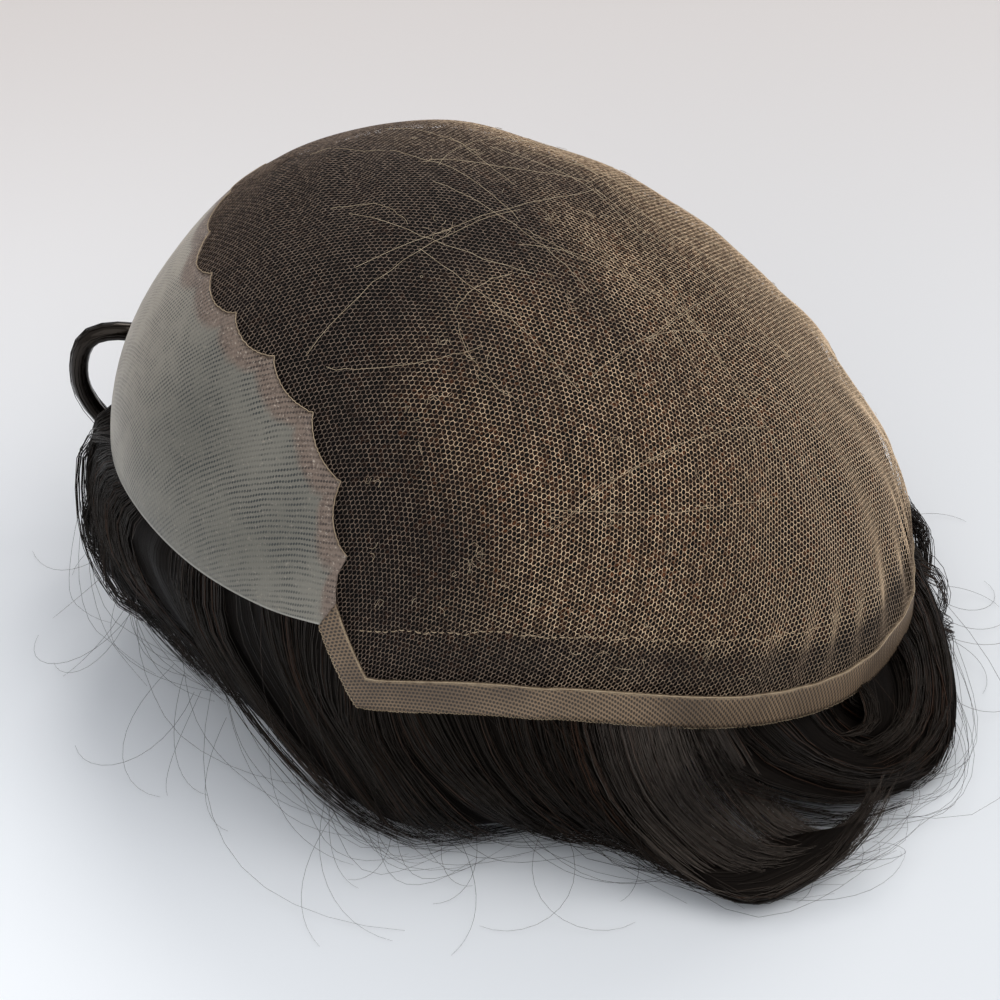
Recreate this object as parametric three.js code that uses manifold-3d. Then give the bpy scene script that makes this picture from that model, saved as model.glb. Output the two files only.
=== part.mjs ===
// A men's hairpiece laid on a table inside out: a domed net cap with a thin film front,
// a coated edge band, and the hair gathered inside it and spilling out under its rim.
// Millimetres, +Z up. -Y is the front hairline, +Y the back of the head, X the width.

import * as THREE from 'three';
import { mergeVertices } from 'three/addons/utils/BufferGeometryUtils.js';
import Module from 'manifold-3d';

// Driving sizes of the cap, measured in the cap's own upright frame
const half_width = 73.5;
const front_reach = 80;
const back_reach = 95;
const crown_height = 64;
const crown_fullness = 2.35;
const cap_lean = THREE.MathUtils.degToRad(34.5);
const table_clearance = 42;

// Driving sizes of the walls and seams
const cap_wall = 1;
const seam_gap = 0.3;
const facet_sag = 0.8;
const band_width = 7.5;
const temple_width = 5;
const scallop_depth = 2.6;
const scallop_count = 11;

// Driving sizes of the hair
const lining_depth = 4;
const mat_gap = 3;
const root_strip_height = 20;
const lock_width = 17;
const lock_relief = 6;
const backing_depth = 5;
const hair_sweep = THREE.MathUtils.degToRad(30);
const hair_reach = 22;
const loop_size = 30;
const loop_lock_width = 6;
const loop_lock_depth = 4.5;

// How finely the surfaces are divided
const rim_steps = 16;
const temple_steps = 4;
const lobe_steps = 4;
const film_rows = 3;
const band_rows = 2;
const net_rings = 6;
const lining_columns = 32;
const lining_rings = 5;
const guard_front_steps = 12;
const lock_steps = 8;
const lock_sides = 6;

// The front edge: bearing round the cap from the +X side, and rise up its wall, in degrees
const hairline_table = [
  { bearing: -28.7, rise: -6.4 },
  { bearing: -36.9, rise: -11.4 },
  { bearing: -50.9, rise: -17.7 },
  { bearing: -70.2, rise: -23.4 },
  { bearing: -81, rise: -25.9 },
  { bearing: -90, rise: -26.5 },
];

// The lower edge of the sides and back, from the temple corner to the back of the head
const side_rim_table = [
  { bearing: -17.1, rise: -15.4 },
  { bearing: -3, rise: -3.7 },
  { bearing: 17.3, rise: 4.2 },
  { bearing: 42.7, rise: 11 },
  { bearing: 65.8, rise: 17.6 },
  { bearing: 90, rise: 22.5 },
];

// The seam between film and net, from the temple to the front centre
const seam_table = [
  { bearing: -31.7, rise: 3.4 },
  { bearing: -39.7, rise: 11.6 },
  { bearing: -50, rise: 15.6 },
  { bearing: -60.7, rise: 16 },
  { bearing: -74, rise: 13.4 },
  { bearing: -90, rise: 10.4 },
];
const temple_seam_point = { bearing: -31.2, rise: 0.7 };

// How far the hair stands out past the rim, as shares of hair_reach, and how high its ends
// stay above the table, as a share of the rim's height
const hair_outline_table = [
  { bearing: -90, belly: 0.3, foot: -0.95, tip: 0.2 },
  { bearing: -60, belly: 0.22, foot: -1.15, tip: 0.12 },
  { bearing: -30, belly: 0.14, foot: -0.75, tip: 0 },
  { bearing: 0, belly: 0.14, foot: -0.5, tip: 0 },
  { bearing: 15, belly: 0.3, foot: -0.15, tip: 0 },
  { bearing: 30, belly: 0.75, foot: 0.75, tip: 0 },
  { bearing: 42, belly: 0.75, foot: 0.8, tip: 0 },
  { bearing: 55, belly: 0.6, foot: 0.55, tip: 0 },
  { bearing: 70, belly: 0.42, foot: 0.4, tip: 0 },
  { bearing: 90, belly: 0.25, foot: 0.25, tip: 0 },
];

// The course of a lock: share of its sweep, share of the root strip that it starts up, place
// between the rim and the belly or foot, height as a share of the rim's, and its fullness
const lock_course = [
  { sweep: 0, lift: 1, belly: 0, foot: 0, height: 1, fullness: 0 },
  { sweep: 0.06, lift: 0, belly: 0.1, foot: 0, height: 0.9, fullness: 0.4 },
  { sweep: 0.25, lift: 0, belly: 0.72, foot: 0, height: 0.66, fullness: 0.9 },
  { sweep: 0.52, lift: 0, belly: 0.85, foot: 0.15, height: 0.42, fullness: 1 },
  { sweep: 0.8, lift: 0, belly: 0.4, foot: 0.6, height: 0.2, fullness: 0.85 },
  { sweep: 1, lift: 0, belly: 0, foot: 1, height: 0.03, fullness: 0.45 },
];

// The hair groups: where their roots run, and how many locks lie side by side in each
const hair_groups = [
  { name: 'front_hair', from: -54, to: -112, locks: 4 },
  { name: 'near_side_hair', from: 44, to: -53.5, locks: 7 },
  { name: 'far_side_hair', from: -112.5, to: -224, locks: 8 },
  { name: 'back_hair', from: 135.5, to: 44.5, locks: 5 },
];

// Loose curls that lie over the locks: their group, root bearing, share of the sweep and size
const curls = [
  { group: 'near_side_hair', root: -30, sweep: 1, size: 0.95 },
  { group: 'near_side_hair', root: 3, sweep: 1.2, size: 1.2 },
  { group: 'far_side_hair', root: -150, sweep: 1.1, size: 1.1 },
  { group: 'far_side_hair', root: -190, sweep: 1.2, size: 1.15 },
  { group: 'back_hair', root: 78, sweep: 2, size: 1.1 },
  { group: 'back_hair', root: 108, sweep: 1.5, size: 1.1 },
];

// The loop of hair at the far end of the hairline: shares of loop_size from the rim there
const loop_bearing = -133;
const loop_course = [
  { ahead: -0.07, up: -0.3 },
  { ahead: 0.3, up: -0.3 },
  { ahead: 0.62, up: -0.2 },
  { ahead: 0.88, up: -0.24 },
  { ahead: 0.97, up: -0.48 },
  { ahead: 0.92, up: -0.78 },
  { ahead: 0.7, up: -1.08 },
  { ahead: 0.25, up: -1.4 },
];

const film_look = { color: 0x8b877c, roughness: 0.45, metalness: 0 };
const net_look = { color: 0x5b4a3d, roughness: 0.85, metalness: 0 };
const band_look = { color: 0x84725f, roughness: 0.7, metalness: 0 };
const hair_look = { color: 0x1a1613, roughness: 0.4, metalness: 0 };

const wasm = await Module();
wasm.setup();
const rad = THREE.MathUtils.degToRad;
const deg = THREE.MathUtils.radToDeg;

// A smooth value between the rows of a table that is ordered by one of its columns
function read(table, key, at, column) {
  const rows = table[0][key] < table.at(-1)[key] ? table : [...table].reverse();
  const k = THREE.MathUtils.clamp(rows.findIndex((row) => row[key] >= at), 1, rows.length - 1);
  const [a, b] = [rows[k - 1], rows[k]];
  const before = rows[k - 2] ?? a;
  const after = rows[k + 1] ?? b;
  const span = b[key] - a[key];
  const t = THREE.MathUtils.clamp((at - a[key]) / span, 0, 1);
  const slope_a = ((b[column] - before[column]) / (b[key] - before[key])) * span;
  const slope_b = ((after[column] - a[column]) / (after[key] - a[key])) * span;
  const [t2, t3] = [t * t, t * t * t];
  return (2 * t3 - 3 * t2 + 1) * a[column] + (t3 - 2 * t2 + t) * slope_a
    + (3 * t2 - 2 * t3) * b[column] + (t3 - t2) * slope_b;
}

// The cap form: a point of its surface, and the outward normal there
const plan_reach = (y) => (y < 0 ? front_reach : back_reach);

function capPoint({ bearing, rise }) {
  const around = rad(bearing);
  const up = rad(rise);
  const y_reach = Math.sin(around) < 0 ? front_reach : back_reach;
  const height = Math.sign(up) * Math.abs(Math.sin(up)) ** (2 / crown_fullness);
  return new THREE.Vector3(
    half_width * Math.cos(around) * Math.cos(up),
    y_reach * Math.sin(around) * Math.cos(up),
    crown_height * height,
  );
}

function capNormal(p) {
  const steep = Math.abs(p.z / crown_height) ** (crown_fullness - 1);
  return new THREE.Vector3(
    (2 * p.x) / half_width ** 2,
    (2 * p.y) / plan_reach(p.y) ** 2,
    (Math.sign(p.z) * crown_fullness * steep) / crown_height,
  ).normalize();
}

function chartOf(p) {
  const share = THREE.MathUtils.clamp(p.z / crown_height, -1, 1);
  const bearing = deg(Math.atan2(p.y / plan_reach(p.y), p.x / half_width));
  const rise = deg(Math.sign(share) * Math.asin(Math.abs(share) ** (crown_fullness / 2)));
  return { bearing: bearing > 90 ? bearing - 360 : bearing, rise };
}

// From the cap's own frame to the table's: leaned back about X and lifted
const to_table = new THREE.Matrix4()
  .makeTranslation(0, 0, table_clearance)
  .multiply(new THREE.Matrix4().makeRotationX(-cap_lean));

function layer(chart, depth) {
  const p = capPoint(chart);
  return p.addScaledVector(capNormal(p), -depth).applyMatrix4(to_table);
}

const mirrored = ({ bearing, rise }) => ({ bearing: -180 - bearing, rise });

// The bearing on the +X half that a bearing anywhere round the cap mirrors to
function symmetric(bearing) {
  const turned = bearing > 90 ? bearing - 360 : bearing;
  return turned < -90 ? -180 - turned : turned;
}

function chartLine(table, steps) {
  const curve = new THREE.SplineCurve(table.map((row) => new THREE.Vector2(row.bearing, row.rise)));
  return curve.getPoints(steps).map((p) => ({ bearing: p.x, rise: p.y }));
}

function between(a, b, share) {
  return {
    bearing: THREE.MathUtils.lerp(a.bearing, b.bearing, share),
    rise: THREE.MathUtils.lerp(a.rise, b.rise, share),
  };
}

// Even steps from one chart point to another
function ladder(a, b, steps) {
  return Array.from({ length: steps + 1 }, (_, j) => between(a, b, j / steps));
}

// A line moved a set distance across the cap's surface, to the left of its direction
function shifted(line, distance, closed = false) {
  const last = line.length - 1;
  return line.map((chart, i) => {
    const here = capPoint(chart);
    const ahead = capPoint(line[i < last ? i + 1 : closed ? 0 : last]);
    const behind = capPoint(line[i > 0 ? i - 1 : closed ? last : 0]);
    const across = capNormal(here).cross(ahead.sub(behind)).normalize();
    return chartOf(here.addScaledVector(across, distance));
  });
}

// Edges of the cap on its +X half
const notch = hairline_table[0];
const corner = side_rim_table[0];
const side_rim = chartLine(side_rim_table, rim_steps);

function insetCorner(at, end_a, width_a, end_b, width_b) {
  const here = capPoint(at);
  const a = capPoint(end_a).sub(here).normalize();
  const b = capPoint(end_b).sub(here).normalize();
  const sine = Math.sin(a.angleTo(b));
  return chartOf(here.addScaledVector(a, width_b / sine).addScaledVector(b, width_a / sine));
}

const above_notch = { ...notch, rise: notch.rise + 5 };
const band_end = insetCorner(notch, corner, temple_width, above_notch, 0);
const band_corner = insetCorner(corner, notch, temple_width, side_rim[1], band_width);
const row_spacing = 1.5;
const side_inner = shifted(side_rim, band_width)
  .filter(({ bearing }) => bearing > band_corner.bearing + row_spacing && bearing < 90 - row_spacing);
side_inner.push({ bearing: 90, rise: side_inner.at(-1).rise });

// The band's two edges, from the temple notch to the back of the head
const outer_edge = [...ladder(notch, corner, temple_steps).slice(0, -1), ...side_rim];
const inner_edge = [
  ...ladder(band_end, band_corner, temple_steps).slice(0, -1),
  ...chartLine([band_corner, ...side_inner], side_rim.length - 1),
];

// The scalloped seam: lobes of net reach down over the film between sharp cusps
function scallopedSeam() {
  const base_steps = 40;
  const lobe_roundness = 0.7;
  const base = chartLine(seam_table, base_steps);
  const whole = [...base, ...base.slice(0, -1).reverse().map(mirrored)];
  const run = new THREE.CatmullRomCurve3(whole.map(capPoint));
  const steps = scallop_count * lobe_steps;
  const line = [];
  for (let i = 0; i <= steps; i += 1) {
    const lobe = Math.sin((Math.PI * (i % lobe_steps)) / lobe_steps) ** lobe_roundness;
    const along = i / steps;
    const here = run.getPointAt(along);
    const across = capNormal(here).cross(run.getTangentAt(along)).normalize();
    line.push(chartOf(here.addScaledVector(across, lobe * scallop_depth)));
  }
  return line;
}

const scallops = scallopedSeam();
const near_temple = [temple_seam_point];
const far_temple = near_temple.map(mirrored);
const seam = [band_end, ...near_temple, ...scallops, ...far_temple, mirrored(band_end)];

// A closed wall between an outer and an inner sheet of points. Rows of the sheets run across
// the strip. A crown closes on itself, and each of its sheets on the top point it is given.
function wallGeometry(outer, inner, tops = null) {
  const across = outer[0].length;
  const count = outer.length;
  const points = [...outer.flat(), ...inner.flat()];
  const at = (sheet, i, j) => (sheet * count + (i % count)) * across + j;
  const faces = [];
  const quad = (a, b, c, d) => faces.push([a, b, c], [a, c, d]);
  const rows = tops ? count : count - 1;
  const end = across - 1;
  for (let i = 0; i < rows; i += 1) {
    for (let j = 0; j < end; j += 1) {
      quad(at(0, i, j), at(0, i + 1, j), at(0, i + 1, j + 1), at(0, i, j + 1));
      quad(at(1, i, j), at(1, i, j + 1), at(1, i + 1, j + 1), at(1, i + 1, j));
    }
    quad(at(0, i, 0), at(1, i, 0), at(1, i + 1, 0), at(0, i + 1, 0));
    if (!tops) {
      quad(at(0, i + 1, end), at(1, i + 1, end), at(1, i, end), at(0, i, end));
    }
  }
  if (tops) {
    tops.forEach((top, sheet) => {
      const peak = points.push(top) - 1;
      for (let i = 0; i < rows; i += 1) {
        const [a, b] = [at(sheet, i, end), at(sheet, i + 1, end)];
        faces.push(sheet === 0 ? [a, b, peak] : [b, a, peak]);
      }
    });
  } else {
    for (let j = 0; j < end; j += 1) {
      quad(at(0, 0, j), at(0, 0, j + 1), at(1, 0, j + 1), at(1, 0, j));
      quad(at(0, rows, j), at(1, rows, j), at(1, rows, j + 1), at(0, rows, j + 1));
    }
  }
  return meshOf(points, faces);
}

// A wall that follows the cap's surface between two depths under it
function capWall(grid, top, bottom) {
  const sheet = (depth) => grid.map((row) => row.map((chart) => layer(chart, depth)));
  return wallGeometry(sheet(top), sheet(bottom));
}

// A wall that closes over the top of the cap, from a foot line given as bearing falls
function crownWall(foot_line, shares, top, bottom) {
  const crown = { bearing: 0, rise: 90 };
  const rows = [...foot_line].reverse();
  const sheet = (depth) => rows.map((foot) => shares
    .map((share) => layer(between(foot, { ...foot, rise: 90 }, share), depth)));
  return wallGeometry(sheet(top), sheet(bottom), [layer(crown, top), layer(crown, bottom)]);
}

const evenShares = (rings) => Array.from({ length: rings }, (_, i) => i / rings);

function meshOf(points, faces) {
  const geometry = new THREE.BufferGeometry();
  geometry.setAttribute('position', new THREE.Float32BufferAttribute(points.flatMap((p) => p.toArray()), 3));
  geometry.setIndex(faces.flat());
  return geometry;
}

// Film front: from the hairline up to the scalloped seam
function hairlineAt(bearing) {
  return { bearing, rise: read(hairline_table, 'bearing', symmetric(bearing), 'rise') };
}

function filmFront() {
  const trim = deg(seam_gap / half_width);
  const span = 2 * (90 + notch.bearing) - 2 * trim;
  const first = notch.bearing - trim;
  const last = first - span;
  const grid = seam.slice(1, -1).map((head) => {
    const share = (band_end.bearing - head.bearing) / (2 * (90 + band_end.bearing));
    return ladder(hairlineAt(first - share * span), head, film_rows);
  });
  grid.unshift(ladder(hairlineAt(first), { ...band_end, bearing: first }, film_rows));
  grid.push(ladder(hairlineAt(last), { ...band_end, bearing: last }, film_rows));
  return capWall(grid.reverse(), 0, cap_wall);
}

// Edge band: down the temple, along the side and round the back to the other temple
function edgeBand() {
  const near = outer_edge.map((edge, i) => ladder(edge, inner_edge[i], band_rows));
  const far = near.slice(0, -1).reverse().map((row) => row.map(mirrored));
  return capWall([...near, ...far], 0, cap_wall);
}

// Net crown: everything inside the seam and the band, closed over the top
function netCrown() {
  const near = [...inner_edge].reverse();
  const far = near.slice(1).reverse().map(mirrored);
  const loop = [...near, ...near_temple, ...scallops, ...far_temple, ...far];
  return crownWall(shifted(loop, -seam_gap, true), evenShares(net_rings), 0, cap_wall);
}

// The cap's lower edge at any bearing, and a height up its wall turned into degrees of rise
function rimAt(bearing) {
  const half = symmetric(bearing);
  if (half <= notch.bearing) {
    return { bearing, rise: read(hairline_table, 'bearing', half, 'rise') };
  }
  if (half < corner.bearing) {
    const share = (half - notch.bearing) / (corner.bearing - notch.bearing);
    return { bearing, rise: between(notch, corner, share).rise };
  }
  return { bearing, rise: read(side_rim_table, 'bearing', half, 'rise') };
}

// The same edge with the temple's point smoothed away
function smoothRimAt(bearing) {
  const half = symmetric(bearing);
  const brow = side_rim_table[1];
  if (half <= notch.bearing || half >= brow.bearing) {
    return rimAt(bearing);
  }
  const share = (half - notch.bearing) / (brow.bearing - notch.bearing);
  return { bearing, rise: between(notch, brow, share).rise };
}

const wall_radius = (half_width + crown_height) / 2;

function above(chart, height) {
  return { bearing: chart.bearing, rise: chart.rise + deg(height / wall_radius) };
}

// Solids to join and cut
const merge_distance = 1e-4;

function solidOf(geometry) {
  const plain = new THREE.BufferGeometry();
  plain.setAttribute('position', geometry.getAttribute('position'));
  plain.setIndex(geometry.getIndex());
  const merged = mergeVertices(plain, merge_distance);
  return new wasm.Manifold(new wasm.Mesh({
    numProp: 3,
    vertProperties: new Float32Array(merged.getAttribute('position').array),
    triVerts: new Uint32Array(merged.getIndex().array),
  }));
}

function geometryOf(solid) {
  const mesh = solid.getMesh();
  const geometry = new THREE.BufferGeometry();
  geometry.setAttribute('position', new THREE.BufferAttribute(mesh.vertProperties, 3));
  geometry.setIndex(new THREE.BufferAttribute(mesh.triVerts, 1));
  return geometry;
}

function largestOf(solid) {
  return solid.decompose().reduce((best, piece) => (piece.volume() > best.volume() ? piece : best));
}

// A lock of hair: flattened oval sections strung along a curve, closed by a point at each end
function lockGeometry(knots) {
  const [steps, sides] = [lock_steps, lock_sides];
  const curve = new THREE.CatmullRomCurve3(knots.map((knot) => knot.place), false, 'centripetal');
  const points = [];
  for (let i = 0; i <= steps; i += 1) {
    const t = i / steps;
    const knot = Math.min(Math.floor(t * (knots.length - 1)), knots.length - 2);
    const share = t * (knots.length - 1) - knot;
    const place = curve.getPoint(t);
    const ahead = curve.getTangent(t);
    const out = knots[knot].out.clone().lerp(knots[knot + 1].out, share);
    const side = ahead.clone().cross(out).normalize();
    const depth = ahead.clone().cross(side).normalize();
    const width_here = THREE.MathUtils.lerp(knots[knot].width, knots[knot + 1].width, share) / 2;
    const depth_here = THREE.MathUtils.lerp(knots[knot].depth, knots[knot + 1].depth, share) / 2;
    for (let k = 0; k < sides; k += 1) {
      const turn = (2 * Math.PI * k) / sides;
      points.push(place.clone()
        .addScaledVector(side, Math.cos(turn) * width_here)
        .addScaledVector(depth, Math.sin(turn) * depth_here));
    }
  }
  const faces = [];
  for (let i = 0; i < steps; i += 1) {
    for (let k = 0; k < sides; k += 1) {
      const [a, b] = [i * sides + k, i * sides + ((k + 1) % sides)];
      faces.push([a, b, b + sides], [a, b + sides, a + sides]);
    }
  }
  const root = points.push(curve.getPoint(0)) - 1;
  const tip = points.push(curve.getPoint(1)) - 1;
  for (let k = 0; k < sides; k += 1) {
    const next = (k + 1) % sides;
    faces.push([root, next, k], [tip, steps * sides + k, steps * sides + next]);
  }
  return meshOf(points, faces);
}

// Outward from the cap along the table at a bearing
function outwardAt(bearing) {
  const out = capNormal(capPoint(rimAt(bearing))).transformDirection(to_table);
  out.z = 0;
  return out.normalize();
}

// Flat facets dip under the curve they follow, so layers keep that much more apart
const lining_gap = seam_gap + facet_sag;
const root_inset = cap_wall + lining_gap + lining_depth / 2;

// Where the hair that passes the rim at a bearing is, at a stage of its course
function hairPlace(bearing, stage, size = 1) {
  const half = symmetric(bearing);
  const inner = 1 - stage.belly - stage.foot;
  const rim = above(rimAt(bearing), stage.lift * root_strip_height);
  const belly = read(hair_outline_table, 'bearing', half, 'belly') * stage.belly;
  const foot = read(hair_outline_table, 'bearing', half, 'foot') * stage.foot;
  const tip = read(hair_outline_table, 'bearing', half, 'tip') * stage.foot;
  const place = layer(rim, inner * root_inset)
    .addScaledVector(outwardAt(bearing), (belly + foot) * hair_reach * size);
  place.z *= stage.height + tip;
  return place;
}

// Hair is swept to the back, most at the sides and not at all at the front and back centre
const sweptTo = (root, share) => root + deg(hair_sweep) * Math.cos(rad(root)) * share;
const lean_up = 0.35;
const size_change = 0.12;
const size_pace = rad(10);

function curlKnots({ root, sweep, size }) {
  return lock_course.map((stage) => {
    const bearing = sweptTo(root, sweep * stage.sweep);
    return {
      place: hairPlace(bearing, stage, size),
      out: outwardAt(bearing).setZ(lean_up),
      width: lock_width * stage.fullness * size,
      depth: 2 * lock_relief * stage.fullness * size,
    };
  });
}

function loopKnots() {
  const root = layer(rimAt(loop_bearing), root_inset);
  return loop_course.map((stage) => ({
    place: root.clone().add(new THREE.Vector3(0, -stage.ahead, stage.up).multiplyScalar(loop_size)),
    out: new THREE.Vector3(-1, 0, 0),
    width: loop_lock_depth,
    depth: loop_lock_width,
  }));
}

// A hair group: roots in a strip just inside the rim, and locks side by side from there to
// the table, as ridges on a common backing
function hairSheet({ from, to, locks }) {
  const ridge = [0, 0.8, 1, 0.8];
  const columns = locks * ridge.length;
  const outer = [];
  const inner = [];
  for (const [i, { bearing: root }] of ladder({ bearing: to }, { bearing: from }, columns).entries()) {
    const size = 1 + size_change * Math.sin(root * size_pace);
    const run = lock_course.map((stage) => hairPlace(sweptTo(root, stage.sweep), stage, size));
    const row = { outer: [], inner: [] };
    lock_course.forEach((stage, k) => {
      const ahead = run[Math.min(k + 1, run.length - 1)].clone().sub(run[Math.max(k - 1, 0)]);
      const off = outwardAt(sweptTo(root, stage.sweep)).setZ(lean_up);
      off.projectOnPlane(ahead.normalize()).normalize();
      const proud = lock_relief * ridge[i % ridge.length] * stage.fullness;
      const sunk = lock_relief * stage.fullness + backing_depth / 2;
      row.outer.unshift(run[k].clone().addScaledVector(off, backing_depth + proud - sunk));
      row.inner.unshift(run[k].clone().addScaledVector(off, -sunk));
    });
    outer.push(row.outer);
    inner.push(row.inner);
  }
  return wallGeometry(outer, inner);
}

// The hair mat under the crown, above the root strips
function hairLining() {
  const foot_line = Array.from({ length: lining_columns }, (_, i) => {
    const rim = smoothRimAt(90 - (360 * i) / lining_columns);
    return above(rim, root_strip_height + mat_gap);
  });
  const top = cap_wall + lining_gap;
  return crownWall(foot_line, evenShares(lining_rings), top, top + lining_depth);
}

// The space that the cap's walls and their clearance take up, kept free of hair
function capGuard() {
  const near = [...outer_edge].reverse();
  const front = ladder(notch, mirrored(notch), guard_front_steps)
    .slice(1, -1).map(({ bearing }) => rimAt(bearing));
  const far = near.slice(1).reverse().map(mirrored);
  const edge = shifted([...near, ...front, ...far], 2 * seam_gap, true);
  const shares = [0, 0.1, 0.2, 0.3, 0.45, 0.7];
  return crownWall(edge, shares, -lining_gap, cap_wall + lining_gap);
}

function tableBlock() {
  const size = 6 * half_width;
  const block = new THREE.BoxGeometry(size, size, size);
  block.translate(0, 0, -size / 2);
  return solidOf(block);
}

const group = new THREE.Group();

function addMesh(name, geometry, look) {
  const mesh = new THREE.Mesh(geometry, new THREE.MeshStandardMaterial(look));
  mesh.name = name;
  group.add(mesh);
}

addMesh('poly_front', filmFront(), film_look);
addMesh('edge_band', edgeBand(), band_look);
addMesh('lace_crown', netCrown(), net_look);
addMesh('hair_lining', hairLining(), hair_look);

const guard = solidOf(capGuard());
const table = tableBlock();
for (const hair of hair_groups) {
  const loose = curls.filter((curl) => curl.group === hair.name).map(curlKnots);
  if (hair.name === 'far_side_hair') {
    loose.push(loopKnots());
  }
  const fused = (joined, knots) => joined.add(solidOf(lockGeometry(knots)));
  const whole = loose.reduce(fused, solidOf(hairSheet(hair)));
  addMesh(hair.name, geometryOf(largestOf(whole.subtract(guard).subtract(table))), hair_look);
}

const extent = new THREE.Box3().setFromObject(group);
const middle = extent.getCenter(new THREE.Vector3());
group.position.set(-middle.x, -middle.y, -extent.min.z);

export default group;
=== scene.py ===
# A men's hairpiece laid on a table inside out: net crown, film front, coated edge band and
# the wavy hair that spills out under its rim. Metres, +Z up. -Y is the front hairline,
# +Y the back of the head and +X the near side.
import math

import bpy
import numpy as np
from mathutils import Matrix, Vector


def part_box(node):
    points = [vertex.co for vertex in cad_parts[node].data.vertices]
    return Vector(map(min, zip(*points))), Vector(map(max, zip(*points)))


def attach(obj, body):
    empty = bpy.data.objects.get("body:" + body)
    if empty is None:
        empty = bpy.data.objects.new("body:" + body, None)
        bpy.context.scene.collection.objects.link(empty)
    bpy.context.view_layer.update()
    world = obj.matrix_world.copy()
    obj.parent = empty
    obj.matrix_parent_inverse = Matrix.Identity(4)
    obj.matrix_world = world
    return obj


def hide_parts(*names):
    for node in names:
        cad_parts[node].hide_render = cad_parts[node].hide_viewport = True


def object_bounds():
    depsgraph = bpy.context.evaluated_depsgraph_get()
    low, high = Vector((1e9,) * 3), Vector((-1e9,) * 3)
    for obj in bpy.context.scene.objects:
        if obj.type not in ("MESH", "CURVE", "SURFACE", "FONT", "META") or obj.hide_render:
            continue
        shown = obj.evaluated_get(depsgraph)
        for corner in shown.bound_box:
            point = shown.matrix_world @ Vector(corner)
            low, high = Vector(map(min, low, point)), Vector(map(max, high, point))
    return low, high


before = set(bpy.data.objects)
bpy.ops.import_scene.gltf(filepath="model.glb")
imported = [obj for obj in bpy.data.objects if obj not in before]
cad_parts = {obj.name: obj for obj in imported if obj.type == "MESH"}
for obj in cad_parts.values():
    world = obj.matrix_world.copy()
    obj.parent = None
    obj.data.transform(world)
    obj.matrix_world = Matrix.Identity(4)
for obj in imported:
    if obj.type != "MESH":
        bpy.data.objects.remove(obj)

cad_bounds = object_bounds()

# Cap form, in its own upright frame
HALF_WIDTH = 0.0735
FRONT_REACH = 0.080
BACK_REACH = 0.095
CROWN_HEIGHT = 0.064
CROWN_FULLNESS = 2.35
CAP_LEAN = math.radians(34.5)
TABLE_CLEARANCE = 0.042

# Walls, seams and hair
BAND_WIDTH = 0.0075
TEMPLE_WIDTH = 0.005
SCALLOP_DEPTH = 0.0026
SCALLOP_COUNT = 11
CELL_PITCH = 0.00098
CELL_JITTER = 0.035
WEAVE_TURN = math.radians(27)
FILM_WALL = 0.00035
BAND_LIFT = 0.0001
BAND_DEPTH = 0.00045
STITCH_ROW = 0.0115
BED_DEPTH = 0.0016
BED_WALL = 0.0035
ROOT_INSET = 0.0041
ROOT_STRIP = 0.020
HAIR_SWEEP = 30
HAIR_REACH = 0.022
LOCK_RELIEF = 0.006
BACKING = 0.005
LOOP_SIZE = 0.030
BOX_SHARE = 0.03
BOX_ROOM = 0.0085

# Radii of threads and hairs
NET_THREAD = 0.000085
EDGE_LOOP = 0.00013
BAND_CORD = 0.00012
SEAM_CORD = 0.0001
STITCH = 0.00012
STRAY_THREAD = 0.000042
FUZZ = 0.00004
STRAND = 0.0001
LOOSE_STRAND = 0.00006
FLYAWAY = 0.000045
LOOP_LOCK = 0.0021
LOOP_SPREAD = 0.0021

# Tint of the hair's highlights
WARM_GLOSS = (1.0, 0.84, 0.72, 1.0)

# Edges of the cap on its near half: bearing from the near side, and rise up the wall
HAIRLINE = [(-90, -26.5), (-81, -25.9), (-70.2, -23.4), (-50.9, -17.7), (-36.9, -11.4), (-28.7, -6.4)]
SIDE_RIM = [(-17.1, -15.4), (-3, -3.7), (17.3, 4.2), (42.7, 11), (65.8, 17.6), (90, 22.5)]
SEAM = [(-31.7, 3.4), (-39.7, 11.6), (-50, 15.6), (-60.7, 16), (-74, 13.4), (-90, 10.4)]
TEMPLE_SEAM = (-31.2, 0.7)

# How far the hair stands out past the rim: bearing, belly, foot, tip height
HAIR_OUTLINE = [
    (-90, 0.3, -0.95, 0.2), (-60, 0.22, -1.15, 0.12), (-30, 0.14, -0.75, 0), (0, 0.14, -0.5, 0),
    (15, 0.3, -0.15, 0), (30, 0.75, 0.75, 0), (42, 0.75, 0.8, 0), (55, 0.6, 0.55, 0),
    (70, 0.42, 0.4, 0), (90, 0.25, 0.25, 0),
]

# Course of a lock: sweep, lift, belly, foot, height, fullness
LOCK_COURSE = [
    (0, 1, 0, 0, 1, 0), (0.06, 0, 0.1, 0, 0.9, 0.4), (0.25, 0, 0.72, 0, 0.66, 0.9),
    (0.52, 0, 0.85, 0.15, 0.42, 1), (0.8, 0, 0.4, 0.6, 0.2, 0.85), (1, 0, 0, 1, 0.03, 0.45),
]
# Hair groups: the node that each stands for, the bearings of its roots, its locks and reach,
# the bearing that its strands start at, and how many there are
HAIR_GROUPS = [
    ("front", "front_hair", -112, -80, 2, 0.75, -112, 160),
    ("far", "far_side_hair", -224, -112.5, 8, 1, -224, 420),
    ("back", "back_hair", 50, 135.5, 4, 0.8, 66, 330),
]

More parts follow.
